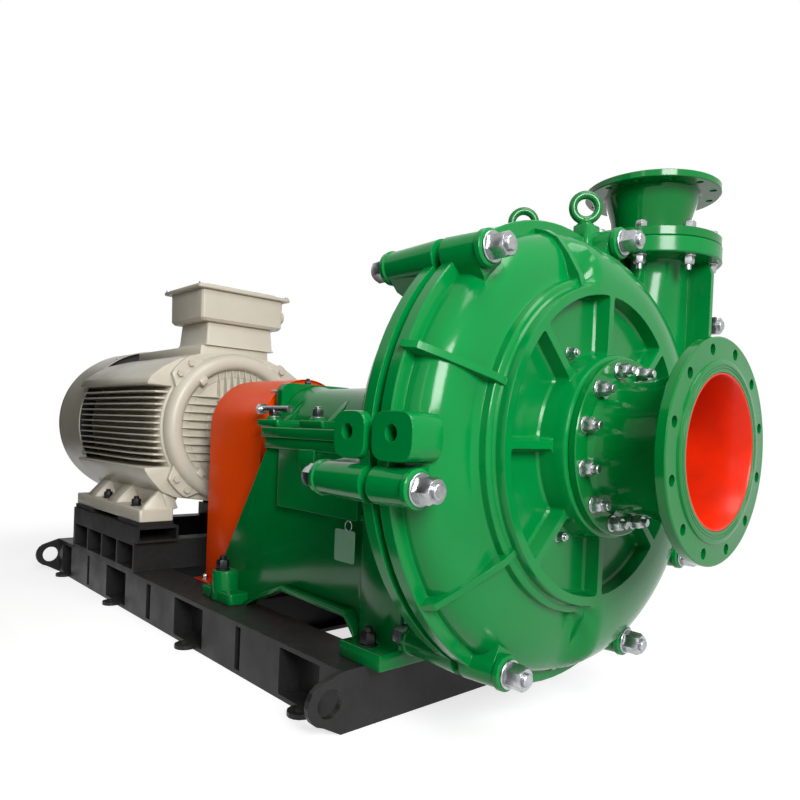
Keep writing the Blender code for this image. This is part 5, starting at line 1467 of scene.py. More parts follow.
@dataclass
class DischargeSpool:
    """The cone spool on the neck, with a bolted lower flange and a drilled thin top flange."""

    shop: Paintshop
    centre: Flat = (0.984, 0.462)
    top_holes: int = 12
    top_circle: float = 0.16
    bolts: int = 8
    bolt_circle: float = 0.1615

    def build(self) -> None:
        """Builds the spool and its bolts."""
        profile = ups(
            (0.5453, 0.074), (0.5453, 0.1855), (0.5475, 0.188), (0.568, 0.188), (0.57, 0.186), (0.57, 0.111),
            (0.574, 0.1055), (0.579, 0.1025), (0.63, 0.1085), (0.688, 0.1245), (0.693, 0.1275), (0.698, 0.132),
            (0.698, 0.179), (0.6998, 0.181), (0.7142, 0.181), (0.716, 0.179), (0.716, 0.15), (0.716, 0.112)
        )
        spool = lathe("outlet_spool", profile, 96, Along.Z, self.centre)
        holes = circle(self.top_circle, self.centre, self.top_holes, 15)
        carve(spool, *[PumpCasing.bar(up(0.66), up(0.75), 0.0095, spot, Along.Z, 20) for spot in holes])
        self.shop.fit(spool, SMOOTH_GREEN, ["discharge_spool"])
        loose = []
        for k, spot in enumerate(circle(self.bolt_circle, self.centre, self.bolts, 20)):
            loose += fastener(f"flange_head_{k}", (*spot, up(0.57)), OVERHEAD, 0.027, 0.0, True, 11 * k)
            loose += fastener(f"flange_nut_{k}", (*spot, up(0.503)), -OVERHEAD, 0.027, 0.014, True, 5 * k)
        self.shop.fit(gather("discharge_bolts", loose), ZINC)


@dataclass
class LiftingEyes:
    """The two forged lifting eyes on the casing."""

    shop: Paintshop
    y: float = 0.095
    ring_radius: float = 0.031
    bar_radius: float = 0.0103
    ring_height: float = 0.577

    def build(self) -> None:
        """Builds both eyes."""
        for name, distance, turn in (("front", 0.39, -43.0), ("rear", 0.577, -43.0)):
            self.shop.fit(self.build_eye(name, distance, turn), SMOOTH_GREEN, [f"eyebolt_{name}"])

    def build_eye(self, name: str, distance: float, turn: float) -> Piece:
        """One eye: a bent ring on a collar with a shank.

        Args:
            name: Which eye.
            distance: How far back it stands.
            turn: The angle of its ring about the vertical, in degrees.

        Returns:
            The eye.
        """
        across = Vector((math.cos(math.radians(90 + turn)), math.sin(math.radians(90 + turn)), 0.0))
        middle = Vector((back(distance), self.y, up(self.ring_height)))
        path = [middle + across * a + OVERHEAD * b for a, b in circle(self.ring_radius, steps=40)]
        ring = tube(f"ring_{name}", path, self.bar_radius, 20, True)
        foot = ups(
            (0.5, 0.0), (0.5, 0.0085), (0.5302, 0.0085), (0.5302, 0.0205), (0.5315, 0.0215), (0.535, 0.0215),
            (0.5385, 0.018), (0.543, 0.0135), (0.548, 0.012), (0.551, 0.0)
        )
        return gather(
            f"lifting_eye_{name}", [ring, lathe(f"shank_{name}", foot, 32, Along.Z, (back(distance), self.y))]
        )


def mirrored(pieces: Callable[[int], list[Piece]]) -> list[Piece]:
    """The pieces of the near side (-1) and of the far side (1)."""
    return pieces(-1) + pieces(1)


def spread(a: float, b: float) -> Flat:
    """Two numbers in rising order."""
    return (min(a, b), max(a, b))


@dataclass
class BearingBracket:
    """The cast bracket: two-tier table rails, proud side blocks, splayed webs, feet and a blank plate."""

    shop: Paintshop
    half: float = 0.27
    table_top: float = 0.013
    table_rear: float = 1.247
    ring_front: float = 0.5927
    ring_rear: float = 0.625
    leg_rear: float = 0.776
    floor: float = -0.5447
    block_front: float = 0.79
    block_rear: float = 1.164
    block_low: float = -0.218
    web_inner: float = 1.06
    foot_rear: float = 1.52
    bolt_y: float = 0.282
    bolts: Flat = (0.7, 1.43)

    def build(self) -> None:
        """Casts the bracket and fits its foundation nuts and its blank plate."""
        body = gather("pump_bracket_casting", [self.ring(), *mirrored(self.side), *self.cross_walls()])
        self.shop.fit(body, CAST_GREEN, ["pump_bracket"])
        nuts = []
        for side in (-1, 1):
            for place, height in zip(self.bolts, (self.floor + 0.04, self.floor + 0.094)):
                base = (back(place), side * self.bolt_y, up(height))
                nuts += fastener(f"foot_{place}_{side}", base, OVERHEAD, 0.036, 0.012, True, 10)
        self.shop.fit(gather("foot_nuts", nuts), BLACK_OXIDE)
        self.build_blank_plate()

    def ring(self) -> Piece:
        """The round flange against the casing.

        Returns:
            The flange.
        """
        profile = backs(
            (self.ring_rear, 0.2265), (self.ring_rear, 0.317), (self.ring_rear - 0.003, 0.32),
            (self.ring_front + 0.003, 0.32), (self.ring_front, 0.317), (self.ring_front, 0.2265)
        )
        return lathe("bracket_ring", profile, 96)

    def side(self, side: int) -> list[Piece]:
        """One side of the casting.

        Args:
            side: -1 for the near side, 1 for the far side.

        Returns:
            Its overlapping shapes.
        """
        rail = [
            (0.622, 0.2265), (0.9, 0.2265), (0.9, 0.18), (self.table_rear, 0.18), (self.table_rear, self.half),
            (0.622, self.half)
        ]
        lower = [(0.622, 0.2265), (0.9, 0.2265), (0.9, 0.185), (1.24, 0.185), (1.24, 0.261), (0.622, 0.261)]
        found = [
            prism("rail", [(back(d), side * y) for d, y in rail], up(-0.0185), up(self.table_top), Along.Z),
            prism("lower_rail", [(back(d), side * y) for d, y in lower], up(-0.051), up(-0.018), Along.Z),
            self.block(side), self.boss_under_rail(side), self.web(side), self.lip(side)
        ]
        low, high = spread(side * 0.228, side * 0.25)
        found.append(slab("leg", (back(self.leg_rear), low, up(self.floor + 0.01)), (back(0.6215), high, up(-0.03))))
        low, high = spread(side * 0.16, side * 0.31)
        found.append(
            slab("front_foot", (back(self.leg_rear), low, up(self.floor)), (back(0.62), high, up(self.floor + 0.04)))
        )
        found += self.rear_foot(side)
        return [soften(piece, 0.0035, 3) for piece in found]

    def block(self, side: int) -> Piece:
        """The proud block under the rails, which carries the bearing saddle.

        Args:
            side: -1 for the near side, 1 for the far side.

        Returns:
            The block.
        """
        outline = rounded(
            [(back(self.block_rear), up(-0.04)), (back(self.block_rear), up(self.block_low)),
             (back(self.block_front), up(self.block_low)), (back(self.block_front), up(-0.04))], 0.006, 3
        )
        low, high = spread(side * 0.228, side * 0.258)
        return prism("block", outline, low, high, Along.Y)

    def boss_under_rail(self, side: int) -> Piece:
        """The round-ended boss that hangs from the rail.

        Args:
            side: -1 for the near side, 1 for the far side.

        Returns:
            The boss.
        """
        arc = [(back(1.0145 + a), up(-0.076 - b)) for a, b in circle(0.0385, steps=24)[:13]]
        outline = [(back(1.053), up(-0.045)), *arc, (back(0.976), up(-0.045))]
        low, high = spread(side * 0.25, side * 0.2665)
        return prism("rail_boss", outline, low, high, Along.Y)

    def web(self, side: int) -> Piece:
        """The splayed web from the sloping rear edge in to the recessed wall.

        Args:
            side: -1 for the near side, 1 for the far side.

        Returns:
            The web.
        """
        places = (
            (self.table_rear - 0.006, -0.045, 0.25), (1.504, -0.452, 0.25), (1.504, -0.535, 0.25),
            (1.31, -0.535, 0.246), (1.25, -0.503, 0.242), (1.12, -0.454, 0.232), (0.83, -0.46, 0.226),
            (0.795, -0.5, 0.226), (0.775, -0.535, 0.226), (0.74, -0.535, 0.226), (0.74, -0.06, 0.226),
            (self.web_inner, -0.06, 0.226)
        )
        rows = [[(back(d), side * (y - inset), up(h)) for d, h, y in places] for inset in (0.0, 0.012)]
        return loft("web", rows)

    def lip(self, side: int) -> Piece:
        """The thick lip along the arched lower edge.

        Args:
            side: -1 for the near side, 1 for the far side.

        Returns:
            The lip.
        """
        line = ((1.33, -0.536), (1.262, -0.5), (1.126, -0.446), (0.826, -0.452), (0.786, -0.494), (0.776, -0.52))
        outline = [(back(d), up(h)) for d, h in line] + [(back(d), up(h - 0.016)) for d, h in reversed(line)]
        low, high = spread(side * 0.224, side * 0.262)
        return prism("lip", outline, low, high, Along.Y)

    def rear_foot(self, side: int) -> list[Piece]:
        """The rear foot: a pad with a drafted round boss for its foundation bolt.

        Args:
            side: -1 for the near side, 1 for the far side.

        Returns:
            The pad and its boss.
        """
        low, high = spread(side * 0.232, side * 0.31)
        pad = prism(
            "rear_foot",
            rounded_box((back(self.foot_rear), low), (back(1.33), high), 0.02),
            up(self.floor), up(self.floor + 0.034), Along.Z
        )
        profile = ups(
            (self.floor + 0.002, 0.0), (self.floor + 0.002, 0.046), (self.floor + 0.091, 0.041),
            (self.floor + 0.094, 0.038), (self.floor + 0.094, 0.0)
        )
        return [pad, lathe("rear_boss", profile, 40, Along.Z, (back(self.bolts[1]), side * (self.bolt_y - 0.012)))]

    def cross_walls(self) -> list[Piece]:
        """The pan under the bearings and the walls that tie the sides.

        Returns:
            The walls.
        """
        walls = (
            ((back(1.18), -0.246, up(self.block_low)), (back(0.629), 0.246, up(self.block_low + 0.018))),
            ((back(1.186), -0.24, up(self.block_low)), (back(1.166), 0.24, up(-0.181))),
            ((back(0.776), -0.24, up(-0.525)), (back(0.754), 0.24, up(-0.208)))
        )
        return [soften(slab(f"wall_{k}", low, high), 0.003) for k, (low, high) in enumerate(walls)]

    def build_blank_plate(self) -> None:
        """Hangs the bare plate from its ring on the near side."""
        ring = [
            (back(0.812) + 0.01 * b, -0.2665 + 0.003 * b, up(-0.232) + 0.013 * a) for a, b in circle(1.0, steps=20)
        ]
        self.shop.fit(tube("blank_plate_ring", ring, 0.0016, 8, True), ZINC)
        outline = rounded_box((back(0.866), up(-0.326)), (back(0.783), up(-0.243)), 0.008)
        plate = soften(prism("blank_plate", outline, -0.2675, -0.266, Along.Y), 0.0005)
        self.shop.fit(plate, TAG_GREEN)


@dataclass
class BearingAssembly:
    """The bearing housing: barrel, squared ends, bolted covers, feet, stud and grease fittings."""

    shop: Paintshop
    front: float = 0.88
    rear: float = 1.36
    radius: float = 0.15
    bore: float = 0.1105
    cover: float = 0.148
    cover_depth: float = 0.028
    cover_bolts: int = 8
    bolt_circle: float = 0.125
    foot_places: tuple[Flat, Flat] = ((0.985, 1.105), (1.215, 1.335))
    foot_top: float = 0.043
    bolt_y: float = 0.205
    bolt_places: Flat = (1.048, 1.28)

    def build(self) -> None:
        """Casts the housing and fits all that is bolted to it."""
        shapes = [self.barrel(), *self.ends(), *mirrored(self.feet)]
        self.shop.fit(gather("housing_casting", shapes), CAST_GREEN, ["bearing_housing"], Body.CARTRIDGE)
        self.build_cover("front", back(self.front), 1)
        self.build_cover("rear", back(self.rear), -1)
        self.build_hardware()

    def barrel(self) -> Piece:
        """The turned barrel, flared towards both ends.

        Returns:
            The barrel.
        """
        profile = backs(
            (self.front, self.bore), (self.front, self.radius + 0.006), (0.915, self.radius + 0.006),
            (0.93, self.radius), (0.96, self.radius - 0.006), (1.27, self.radius - 0.006), (1.305, self.radius),
            (1.325, self.radius + 0.006), (self.rear, self.radius + 0.006), (self.rear, self.bore)
        )
        return lathe("barrel", profile, 96)

    def ends(self) -> list[Piece]:
        """The squared flanges at both ends.

        Returns:
            Both flanges.
        """
        found = []
        for near, far in ((self.front + 0.001, 0.908), (1.326, self.rear - 0.001)):
            outline = rounded_box((-0.15, up(-0.08)), (0.15, up(0.158)), 0.04, 8)
            hole = circle(self.bore + 0.002, SHAFT, 64)
            found.append(soften(prism("end_flange", outline, back(far), back(near), Along.X, [hole]), 0.002))
        return found

    def feet(self, side: int) -> list[Piece]:
        """The two feet of one side, each with a raised seat and a rib to the barrel.

        Args:
            side: -1 for the near side, 1 for the far side.

        Returns:
            The feet, seats and ribs.
        """
        found = []
        for near, far in self.foot_places:
            low, high = spread(side * 0.12, side * 0.235)
            outline = rounded_box((back(far), low), (back(near), high), 0.012)
            found.append(soften(prism("foot", outline, up(0.0133), up(self.foot_top - 0.008), Along.Z), 0.002))
            seat = circle(0.026, (back((near + far) / 2), side * self.bolt_y), 32)
            found.append(soften(prism("seat", seat, up(0.02), up(self.foot_top), Along.Z), 0.0015))
            rib = facing((side * 0.11, 0.03), (side * 0.175, 0.03), (side * 0.14, 0.062), (side * 0.105, 0.1))
            middle = back((near + far) / 2)
            found.append(soften(prism("foot_rib", rib, middle - 0.012, middle + 0.012, Along.X), 0.002))
        return found

    def build_cover(self, label: str, place: float, way: int) -> None:
        """Turns one end cover and bolts it on.

        Args:
            label: front or rear.
            place: The X of the housing's end.
            way: The direction that the cover faces along X.
        """
        depth = self.cover_depth
        opening = 0.0468
        profile = [
            (place + 0.0005 * way, opening), (place + 0.0005 * way, self.cover),
            (place + (depth * 0.45) * way, self.cover), (place + (depth * 0.55) * way, self.cover - 0.003),
            (place + (depth * 0.6) * way, 0.1), (place + (depth * 0.95) * way, 0.092), (place + depth * way, 0.088),
            (place + depth * way, opening)
        ]
        self.shop.fit(
            lathe(f"end_cover_{label}", profile, 96), SMOOTH_GREEN, [f"bearing_cover_{label}"], Body.CARTRIDGE
        )
        bolts = []
        for k, (y, z) in enumerate(circle(self.bolt_circle, SHAFT, self.cover_bolts, 22.5)):
            bolts += fastener(
                f"cover_{label}_{k}", (place + depth * 0.56 * way, y, z), Vector((way, 0, 0)), 0.017, 0.0, True, 7 * k
            )
        self.shop.fit(gather(f"cover_bolts_{label}", bolts), ZINC, body=Body.CARTRIDGE)

    def build_hardware(self) -> None:
        """Fits the foot bolts, the long bright stud and the dark grease fittings."""
        bolts = []
        for side in (-1, 1):
            for place in self.bolt_places:
                base = (back(place), side * self.bolt_y, up(self.foot_top))
                bolts += fastener(f"housing_{side}_{place}", base, OVERHEAD, 0.03, 0.006, True, 20)
        self.shop.fit(gather("housing_foot_bolts", bolts), ZINC, body=Body.CARTRIDGE)
        stud = [round_bar("stud", Vector((back(1.35), -0.118, up(0.128))), -AHEAD, 0.0095, 0.083)]
        stud += fastener("stud_nut", (back(1.361), -0.118, up(0.128)), -AHEAD, 0.024, 0.0, False)
        self.shop.fit(gather("bright_stud", stud), ZINC, body=Body.CARTRIDGE)
        nipples = []
        for place, y in ((0.894, -0.045), (0.894, 0.045), (1.343, -0.04)):
            nipples.append(round_bar("nipple", Vector((back(place), y, up(0.15))), OVERHEAD, 0.006, 0.028, 16))
            nipples += fastener("nipple_nut", (back(place), y, up(0.158)), OVERHEAD, 0.018, 0.0, False)
        bend = [
            (back(0.905), -0.085, up(0.15)), (back(0.905), -0.085, up(0.172)), (back(0.9), -0.085, up(0.18)),
            (back(0.85), -0.085, up(0.182))
        ]
        nipples.append(tube("grease_elbow", bend, 0.0055, 12))
        self.shop.fit(gather("grease_fittings", nipples), BLACK_OXIDE, body=Body.CARTRIDGE)


@dataclass
class CouplingGuard:
    """The orange guard: one sheet bent over the coupling, with a plate across its front."""

    shop: Paintshop
    front: float = 1.398
    rear: float = 1.745
    half: float = 0.18
    sheet: float = 0.004
    low: float = -0.5445
    foot: float = 0.045
    hole: float = 0.062

    def line(self, inset: float) -> list[Flat]:
        """The bent line of the sheet, from the near foot over the top to the far foot.

        Args:
            inset: How far inside the sheet's outer face the line lies.

        Returns:
            Its (y, z) points.
        """
        half = self.half - inset
        found = facing((-half, self.low + self.sheet), (-half, -0.3), (-half, -0.15))
        found += circle(half, SHAFT, 96)[48::-1]
        return found + facing((half, -0.15), (half, -0.3), (half, self.low + self.sheet))

    def build(self) -> None:
        """Folds the sheet, fits the front plate and bolts the feet down."""
        wrap = prism("wrap", self.line(0.0) + self.line(self.sheet)[::-1], back(self.rear), back(self.front), Along.X)
        feet = []
        for side in (-1, 1):
            low, high = spread(side * (self.half - self.sheet), side * (self.half + self.foot))
            top = (back(self.front), high, up(self.low + self.sheet))
            feet.append(slab("guard_foot", (back(self.rear), low, up(self.low)), top))
        inner = self.line(self.sheet)
        hole = circle(self.hole, SHAFT, 48)
        plate = prism("front_plate", inner, back(self.front + 0.01), back(self.front + 0.006), Along.X, [hole])
        pieces = [soften(wrap, 0.0012), *[soften(piece, 0.001) for piece in feet], plate]
        self.shop.fit(gather("guard_sheet", pieces), SHEET_ORANGE, ["coupling_guard"])
        bolts = []
        for side in (-1, 1):
            for place in (self.front + 0.045, self.rear - 0.045):
                base = (back(place), side * (self.half + self.foot * 0.55), up(self.low + self.sheet))
                bolts += fastener(f"guard_{side}_{place}", base, OVERHEAD, 0.018, 0.004)
        self.shop.fit(gather("guard_bolts", bolts), ZINC)


@dataclass
class Coupling:
    """The pin coupling's two turned halves."""

    shop: Paintshop
    radius: float = 0.118
    pins: int = 6
    pin_circle: float = 0.092
    pump_front: float = 1.462
    length: float = 0.095
    gap: float = 0.004

    def build(self) -> None:
        """Turns both halves and fits the pins' nuts."""
        middle = self.pump_front + self.length
        self.half("pump", self.pump_front, middle, 0.0361, Body.PUMP_ROTOR, 1)
        self.half("motor", middle + self.gap, middle + self.gap + self.length, 0.0476, Body.MOTOR_ROTOR, -1)

    def half(self, label: str, near: float, far: float, bore: float, body: Body, way: int) -> None:
        """Turns one half with its hub.

        Args:
            label: pump or motor.
            near: Its front face, back from the suction face.
            far: Its rear face.
            bore: The bore's radius.
            body: The body that it rides on.
            way: The direction along X that its hub points.
        """
        outer, inner = (back(near), back(far)) if way > 0 else (back(far), back(near))
        profile = [
            (outer, bore), (outer, 0.07), (outer - 0.045 * way, 0.074), (outer - 0.05 * way, self.radius - 0.002),
            (outer - 0.052 * way, self.radius), (inner, self.radius), (inner, bore)
        ]
        self.shop.fit(lathe(f"{label}_coupling", profile, 96), TURNED_STEEL, [f"coupling_{label}_half"], body)
        nuts = []
        for k, (y, z) in enumerate(circle(self.pin_circle, SHAFT, self.pins)):
            nuts += fastener(f"pin_{label}_{k}", (outer - 0.05 * way, y, z), Vector((way, 0, 0)), 0.022, 0.005)
        self.shop.fit(gather(f"{label}_coupling_nuts", nuts), ZINC, body=body)


@dataclass
class Motor:
    """The finned motor: cast frame, end shields, fan cowl, feet and terminal box."""

    shop: Paintshop
    front: float = 1.907
    rear: float = 2.64
    radius: float = 0.3
    bore: float = 0.2625
    tip: float = 0.352
    fins: int = 14
    fin_top: float = 0.15
    fin_low: float = -0.1545
    foot_half: float = 0.362
    foot_front: float = 1.915
    foot_rear: float = 2.61
    base: float = -0.3578
    foot_thick: float = 0.046
    struts: tuple[Flat, ...] = ((1.945, 0.014), (2.238, 0.046), (2.477, 0.044))
    pad_top: float = 0.318
    cowl_front: float = 2.672
    cowl_rear: float = 3.084
    cowl: float = 0.346
    inlet: float = 0.225
    box_place: Flat = (2.03, 0.02)

    def build(self) -> None:
        """Builds the whole motor from the feet up."""
        frame = gather("motor_casting", [self.barrel(), *mirrored(self.fin_row), *mirrored(self.foot), self.pad()])
        self.shop.fit(frame, MOTOR_GREY, ["motor_frame"])
        self.build_front_shield()
        self.build_rear_shield()
        self.build_cowl()
        self.build_terminal_box()
        self.build_hardware()

    def barrel(self) -> Piece:
        """The frame's section, with shoulders above and below the fins.

        Returns:
            The frame's body.
        """
        half = [
            (0.0, 0.3), (0.15, 0.282), (0.235, 0.254), (0.298, 0.217), (0.34, 0.183), (0.352, 0.16), (0.352, 0.151),
            (0.259, 0.148)
        ]
        for k in range(1, 16):
            turn = math.radians(29.5 - 59.5 * k / 16)
            half.append((self.radius * math.cos(turn), self.radius * math.sin(turn)))
        half += [
            (0.257, -0.154), (0.352, -0.156), (0.352, -0.165), (0.338, -0.188), (0.315, -0.214), (0.285, -0.245),
            (0.235, -0.268), (0.0, -0.3)
        ]
        outline = [(y, up(h)) for y, h in half] + [(-y, up(h)) for y, h in reversed(half[1:-1])]
        made = prism(
            "barrel", outline, back(self.rear), back(self.front), Along.X, [circle(self.bore, SHAFT, 96)],
            28.0
        )
        return soften(made, 0.004, 3, 40)

    def fin_row(self, side: int) -> list[Piece]:
        """The side fins, drafted to thin tips and drawn in towards the front shield.

        Args:
            side: -1 for the near side, 1 for the far side.

        Returns:
            The fins.
        """
        found = []
        plan = [(self.rear - 0.002, 0.24), (self.rear - 0.002, 0.33), (self.rear - 0.018, self.tip), (2.06, self.tip),
                (1.985, 0.344), (self.front + 0.006, 0.32), (self.front + 0.006, 0.24)]
        for k in range(1, self.fins - 1):
            height = self.fin_top - (self.fin_top - self.fin_low) * k / (self.fins - 1)
            rows = [
                [(back(d), side * y, up(height) + way * (0.0024 + 0.03 * max(0.0, self.tip - y))) for d, y in plan]
                for way in (-1, 1)
            ]
            found.append(soften(loft("fin", rows), 0.0012))
        return found

    def pad(self) -> Piece:
        """The raised pad on top, which carries the terminal box."""
        outline = facing((-0.152, 0.262), (0.152, 0.262), (0.146, self.pad_top), (-0.146, self.pad_top))
        return soften(prism("pad", outline, back(2.52), back(1.912), Along.X), 0.005, 3)

    def foot(self, side: int) -> list[Piece]:
        """The long foot of one side with its sloping struts.

        Args:
            side: -1 for the near side, 1 for the far side.

        Returns:
            The foot, its struts and its inner wall.
        """
        low, high = spread(side * 0.232, side * self.foot_half)
        outline = rounded_box((back(self.foot_rear), low), (back(self.foot_front), high), 0.01)
        found = [soften(prism("foot", outline, up(self.base), up(self.base + self.foot_thick), Along.Z), 0.004, 3)]
        top = self.base + self.foot_thick
        for place, wide in self.struts:
            rows = []
            for height, outer, inner, half in (
                (top - 0.004, 0.35, 0.235, wide + 0.008), (top + 0.014, 0.338, 0.225, wide),
                (-0.192, 0.236, 0.165, wide)
            ):
                corners = ((half, outer), (-half, outer), (-half, inner), (half, inner))
                rows.append([(back(place + off), side * y, up(height)) for off, y in corners])
            found.append(soften(loft("strut", rows, 30.0), 0.005, 3))
        section = facing((side * 0.285, -0.235), (side * 0.255, -0.2), (side * 0.21, top), (side * 0.25, top - 0.01))
        wall = prism("foot_wall", section, back(self.foot_rear - 0.01), back(self.foot_front + 0.01), Along.X)
        return [*found, soften(wall, 0.004)]

    def lug_flange(self, name: str, low: float, high: float, ring: float) -> Piece:
        """A round flange with four bolting lugs.

        Args:
            name: The piece's name.
            low: The X of its rear face.
            high: The X of its front face.
            ring: Its radius between the lugs.

        Returns:
            The flange.
        """
        outline = []
        for degrees in range(0, 360, 3):
            off = abs((degrees % 90) - 45)
            reach = ring + (0.336 - ring) * (1 - ease((off - 8) / 7))
            outline.append(polar(reach, degrees))
        return soften(prism(name, outline, low, high, Along.X, [circle(0.2, SHAFT, 96)]), 0.003, 3)

    def build_front_shield(self) -> None:
        """Casts the front shield: rounded ring, ribbed dish, hub, lugs and bolts."""
        profile = backs(
            (1.906, 0.0485), (1.906, 0.29), (1.892, 0.293), (1.878, 0.29), (1.866, 0.281), (1.859, 0.268),
            (1.857, 0.253), (1.86, 0.24), (1.868, 0.232), (1.888, 0.227), (1.889, 0.126), (1.884, 0.116),
            (1.856, 0.112), (1.851, 0.107), (1.851, 0.0485)
        )
        shapes = [
            lathe("shield", profile[::-1], 128), self.lug_flange("shield_flange", back(1.907), back(1.886), 0.291)
        ]
        for side in (-1, 1):
            for k in range(9):
                height = 0.118 - 0.0305 * k
                reach = math.sqrt(max(0.0, 0.229**2 - height**2))
                start = math.sqrt(max(0.0, 0.108**2 - height**2))
                shapes.append(self.dish_rib([(side * start, height), (side * reach, height)], 0.0028))
        for k in range(7):
            for way in (-1, 1):
                y = -0.084 + 0.028 * k
                reach = math.sqrt(0.229**2 - y**2)
                start = math.sqrt(0.108**2 - y**2)
                shapes.append(self.dish_rib([(y, way * max(start, 0.1)), (y, way * reach)], 0.0028))
        for degrees in (48, 132, 228, 312):
            y, z = polar(0.236, degrees)
            block = slab("square_boss", (back(1.88), -0.013, -0.016), (back(1.85), 0.013, 0.016))
            block.data.transform(Matrix.Translation((0, y, z)) @ Matrix.Rotation(math.radians(degrees), 4, "X"))
            shapes.append(soften(block, 0.002))
        self.shop.fit(gather("front_shield_casting", shapes), MOTOR_GREY, ["motor_shield_front"])

    @staticmethod
    def dish_rib(line: Sequence[Flat], half: float) -> Piece:
        """One thin rib that stands in the dish and slopes to its rim.

        Args:
            line: Its two ends as (y, height over the shaft).
            half: Half its thickness.

        Returns:
            The rib.
        """
        (y0, h0), (y1, h1) = line
        along = Vector((y1 - y0, h1 - h0)).normalized()
        aside = Vector((-along.y, along.x)) * half
        rows = []
        for y, h, crest in ((y0, h0, 1.858), (y0 + (y1 - y0) * 0.75, h0 + (h1 - h0) * 0.75, 1.868), (y1, h1, 1.88)):
            rows.append(
                [(back(1.892), y + aside.x, up(h + aside.y)), (back(crest), y + aside.x * 0.7, up(h + aside.y * 0.7)),
                 (back(crest), y - aside.x * 0.7, up(h - aside.y * 0.7)), (back(1.892), y - aside.x, up(h - aside.y))]
            )
        return loft("dish_rib", rows)

    def build_rear_shield(self) -> None:
        """Casts the plain rear shield, which the cowl hides."""
        profile = backs(
            (2.641, 0.0485), (2.641, 0.285), (2.655, 0.292), (2.668, 0.285), (2.672, 0.15), (2.672, 0.0485)
        )
        self.shop.fit(lathe("rear_shield_casting", profile, 96), MOTOR_GREY, ["motor_shield_rear"])

    def build_cowl(self) -> None:
        """Presses the fan cowl with its rolled rim, domed back, wire grille and screws."""
        outside = backs(
            (self.cowl_front, self.cowl - 0.004), (self.cowl_front, self.cowl), (2.684, self.cowl),
            (2.69, self.cowl - 0.0015), (2.94, self.cowl - 0.0015), (2.99, self.cowl - 0.008),
            (3.03, self.cowl - 0.026), (3.06, self.cowl - 0.056), (3.078, self.cowl - 0.09),
            (self.cowl_rear, self.inlet + 0.004), (self.cowl_rear, self.inlet)
        )
        inside = backs(
            (3.078, self.inlet), (3.07, self.cowl - 0.094), (3.025, self.cowl - 0.033), (2.94, self.cowl - 0.006)
        )
        shell = lathe("cowl_shell", outside + inside, 128)
        wires = [
            tube("wire", [(back(3.074), y, z) for y, z in circle(0.03 + 0.025 * k, SHAFT, 64)], 0.0022, 6, True)
            for k in range(8)
        ]
        for a, b in circle(1.0, (0.0, 0.0), 8, math.degrees(0.2)):
            wires.append(tube("spoke", [(back(3.0785), r * a, up(r * b)) for r in (0.028, 0.229)], 0.0025, 6))
        self.shop.fit(gather("cowl_pressing", [shell, *wires]), MOTOR_GREY, ["motor_cowl"])
        # Painted shade: a ring in the fan's black plastic stands just inside the cowl's rim. It darkens the gap
        # between the cowl and the grey rear shield, where only shadow falls.
        shade_ring_profile = backs((2.705, 0.235), (2.705, self.cowl - 0.003), (2.701, self.cowl - 0.003), (2.701, 0.235))
        self.shop.fit(lathe("air_baffle", shade_ring_profile, 96), FAN_BLACK)
        screws = []
        for degrees in (28, 75, 120, 152, 205, 220, 300, 335):
            y, z = polar(self.cowl - 0.001, degrees)
            out = Vector((0, math.cos(math.radians(degrees)), math.sin(math.radians(degrees))))
            screws.append(round_bar("cowl_screw", Vector((back(2.704), y, z)), out, 0.0075, 0.0045, 16))
        self.shop.fit(gather("cowl_screws", screws), MOTOR_GREY)

    def build_terminal_box(self) -> None:
        """Casts the riser, the box and its lid, and fits the cable gland."""
        d, y = self.box_place
        riser = self.box_loft("riser", ((0.3185, 0.128, 0.153), (0.33, 0.122, 0.147), (0.4095, 0.116, 0.141)), 0.01)
        self.shop.fit(riser, MOTOR_GREY, ["terminal_riser"])
        box = self.box_loft(
            "box", ((0.4103, 0.133, 0.171), (0.421, 0.1405, 0.18), (0.524, 0.142, 0.182), (0.53, 0.142, 0.182)), 0.022
        )
        self.shop.fit(box, MOTOR_GREY, ["terminal_box"])
        lid = self.box_loft(
            "lid",
            (
                (0.5304, 0.158, 0.202), (0.533, 0.16, 0.204), (0.542, 0.16, 0.204), (0.545, 0.156, 0.2),
                (0.5455, 0.128, 0.168), (0.556, 0.118, 0.156)
            ),
            0.016
        )
        self.shop.fit(lid, MOTOR_GREY, ["terminal_lid"])
        start = y + 0.1822
        profile = [(start, 0.0), (start, 0.036), (start + 0.01, 0.036), (start + 0.012, 0.03), (start + 0.03, 0.03),
                   (start + 0.033, 0.027), (start + 0.056, 0.026), (start + 0.06, 0.022), (start + 0.06, 0.0)]
        self.shop.fit(lathe("gland_body", profile, 48, Along.Y, (back(2.0), up(0.482))), MOTOR_GREY, ["cable_gland"])
        screws = []
        for a in (-1, 1):
            for b in (-1, 1):
                base = (back(d) + a * 0.146, y + b * 0.19, up(0.545))
                screws.append(hexagon("lid_screw", base, OVERHEAD, 0.014, 0.006, 15))
        self.shop.fit(gather("lid_screws", screws), ZINC)

    def box_loft(self, name: str, levels: Sequence[Point], corner: float) -> Piece:
        """A rectangular casting with chamfered corners that changes with height.

        Args:
            name: The piece's name.
            levels: (height, half length, half width) from the bottom up.
            corner: The chamfer of its upright corners.

        Returns:
            The casting.
        """
        d, y = self.box_place
        rows = []
        for height, a, b in levels:
            outline = rounded_box((-a, -b), (a, b), corner, 3)
            rows.append([(back(d) + x, y + w, up(height)) for x, w in outline])
        return soften(loft(name, rows, 30.0), 0.0015)

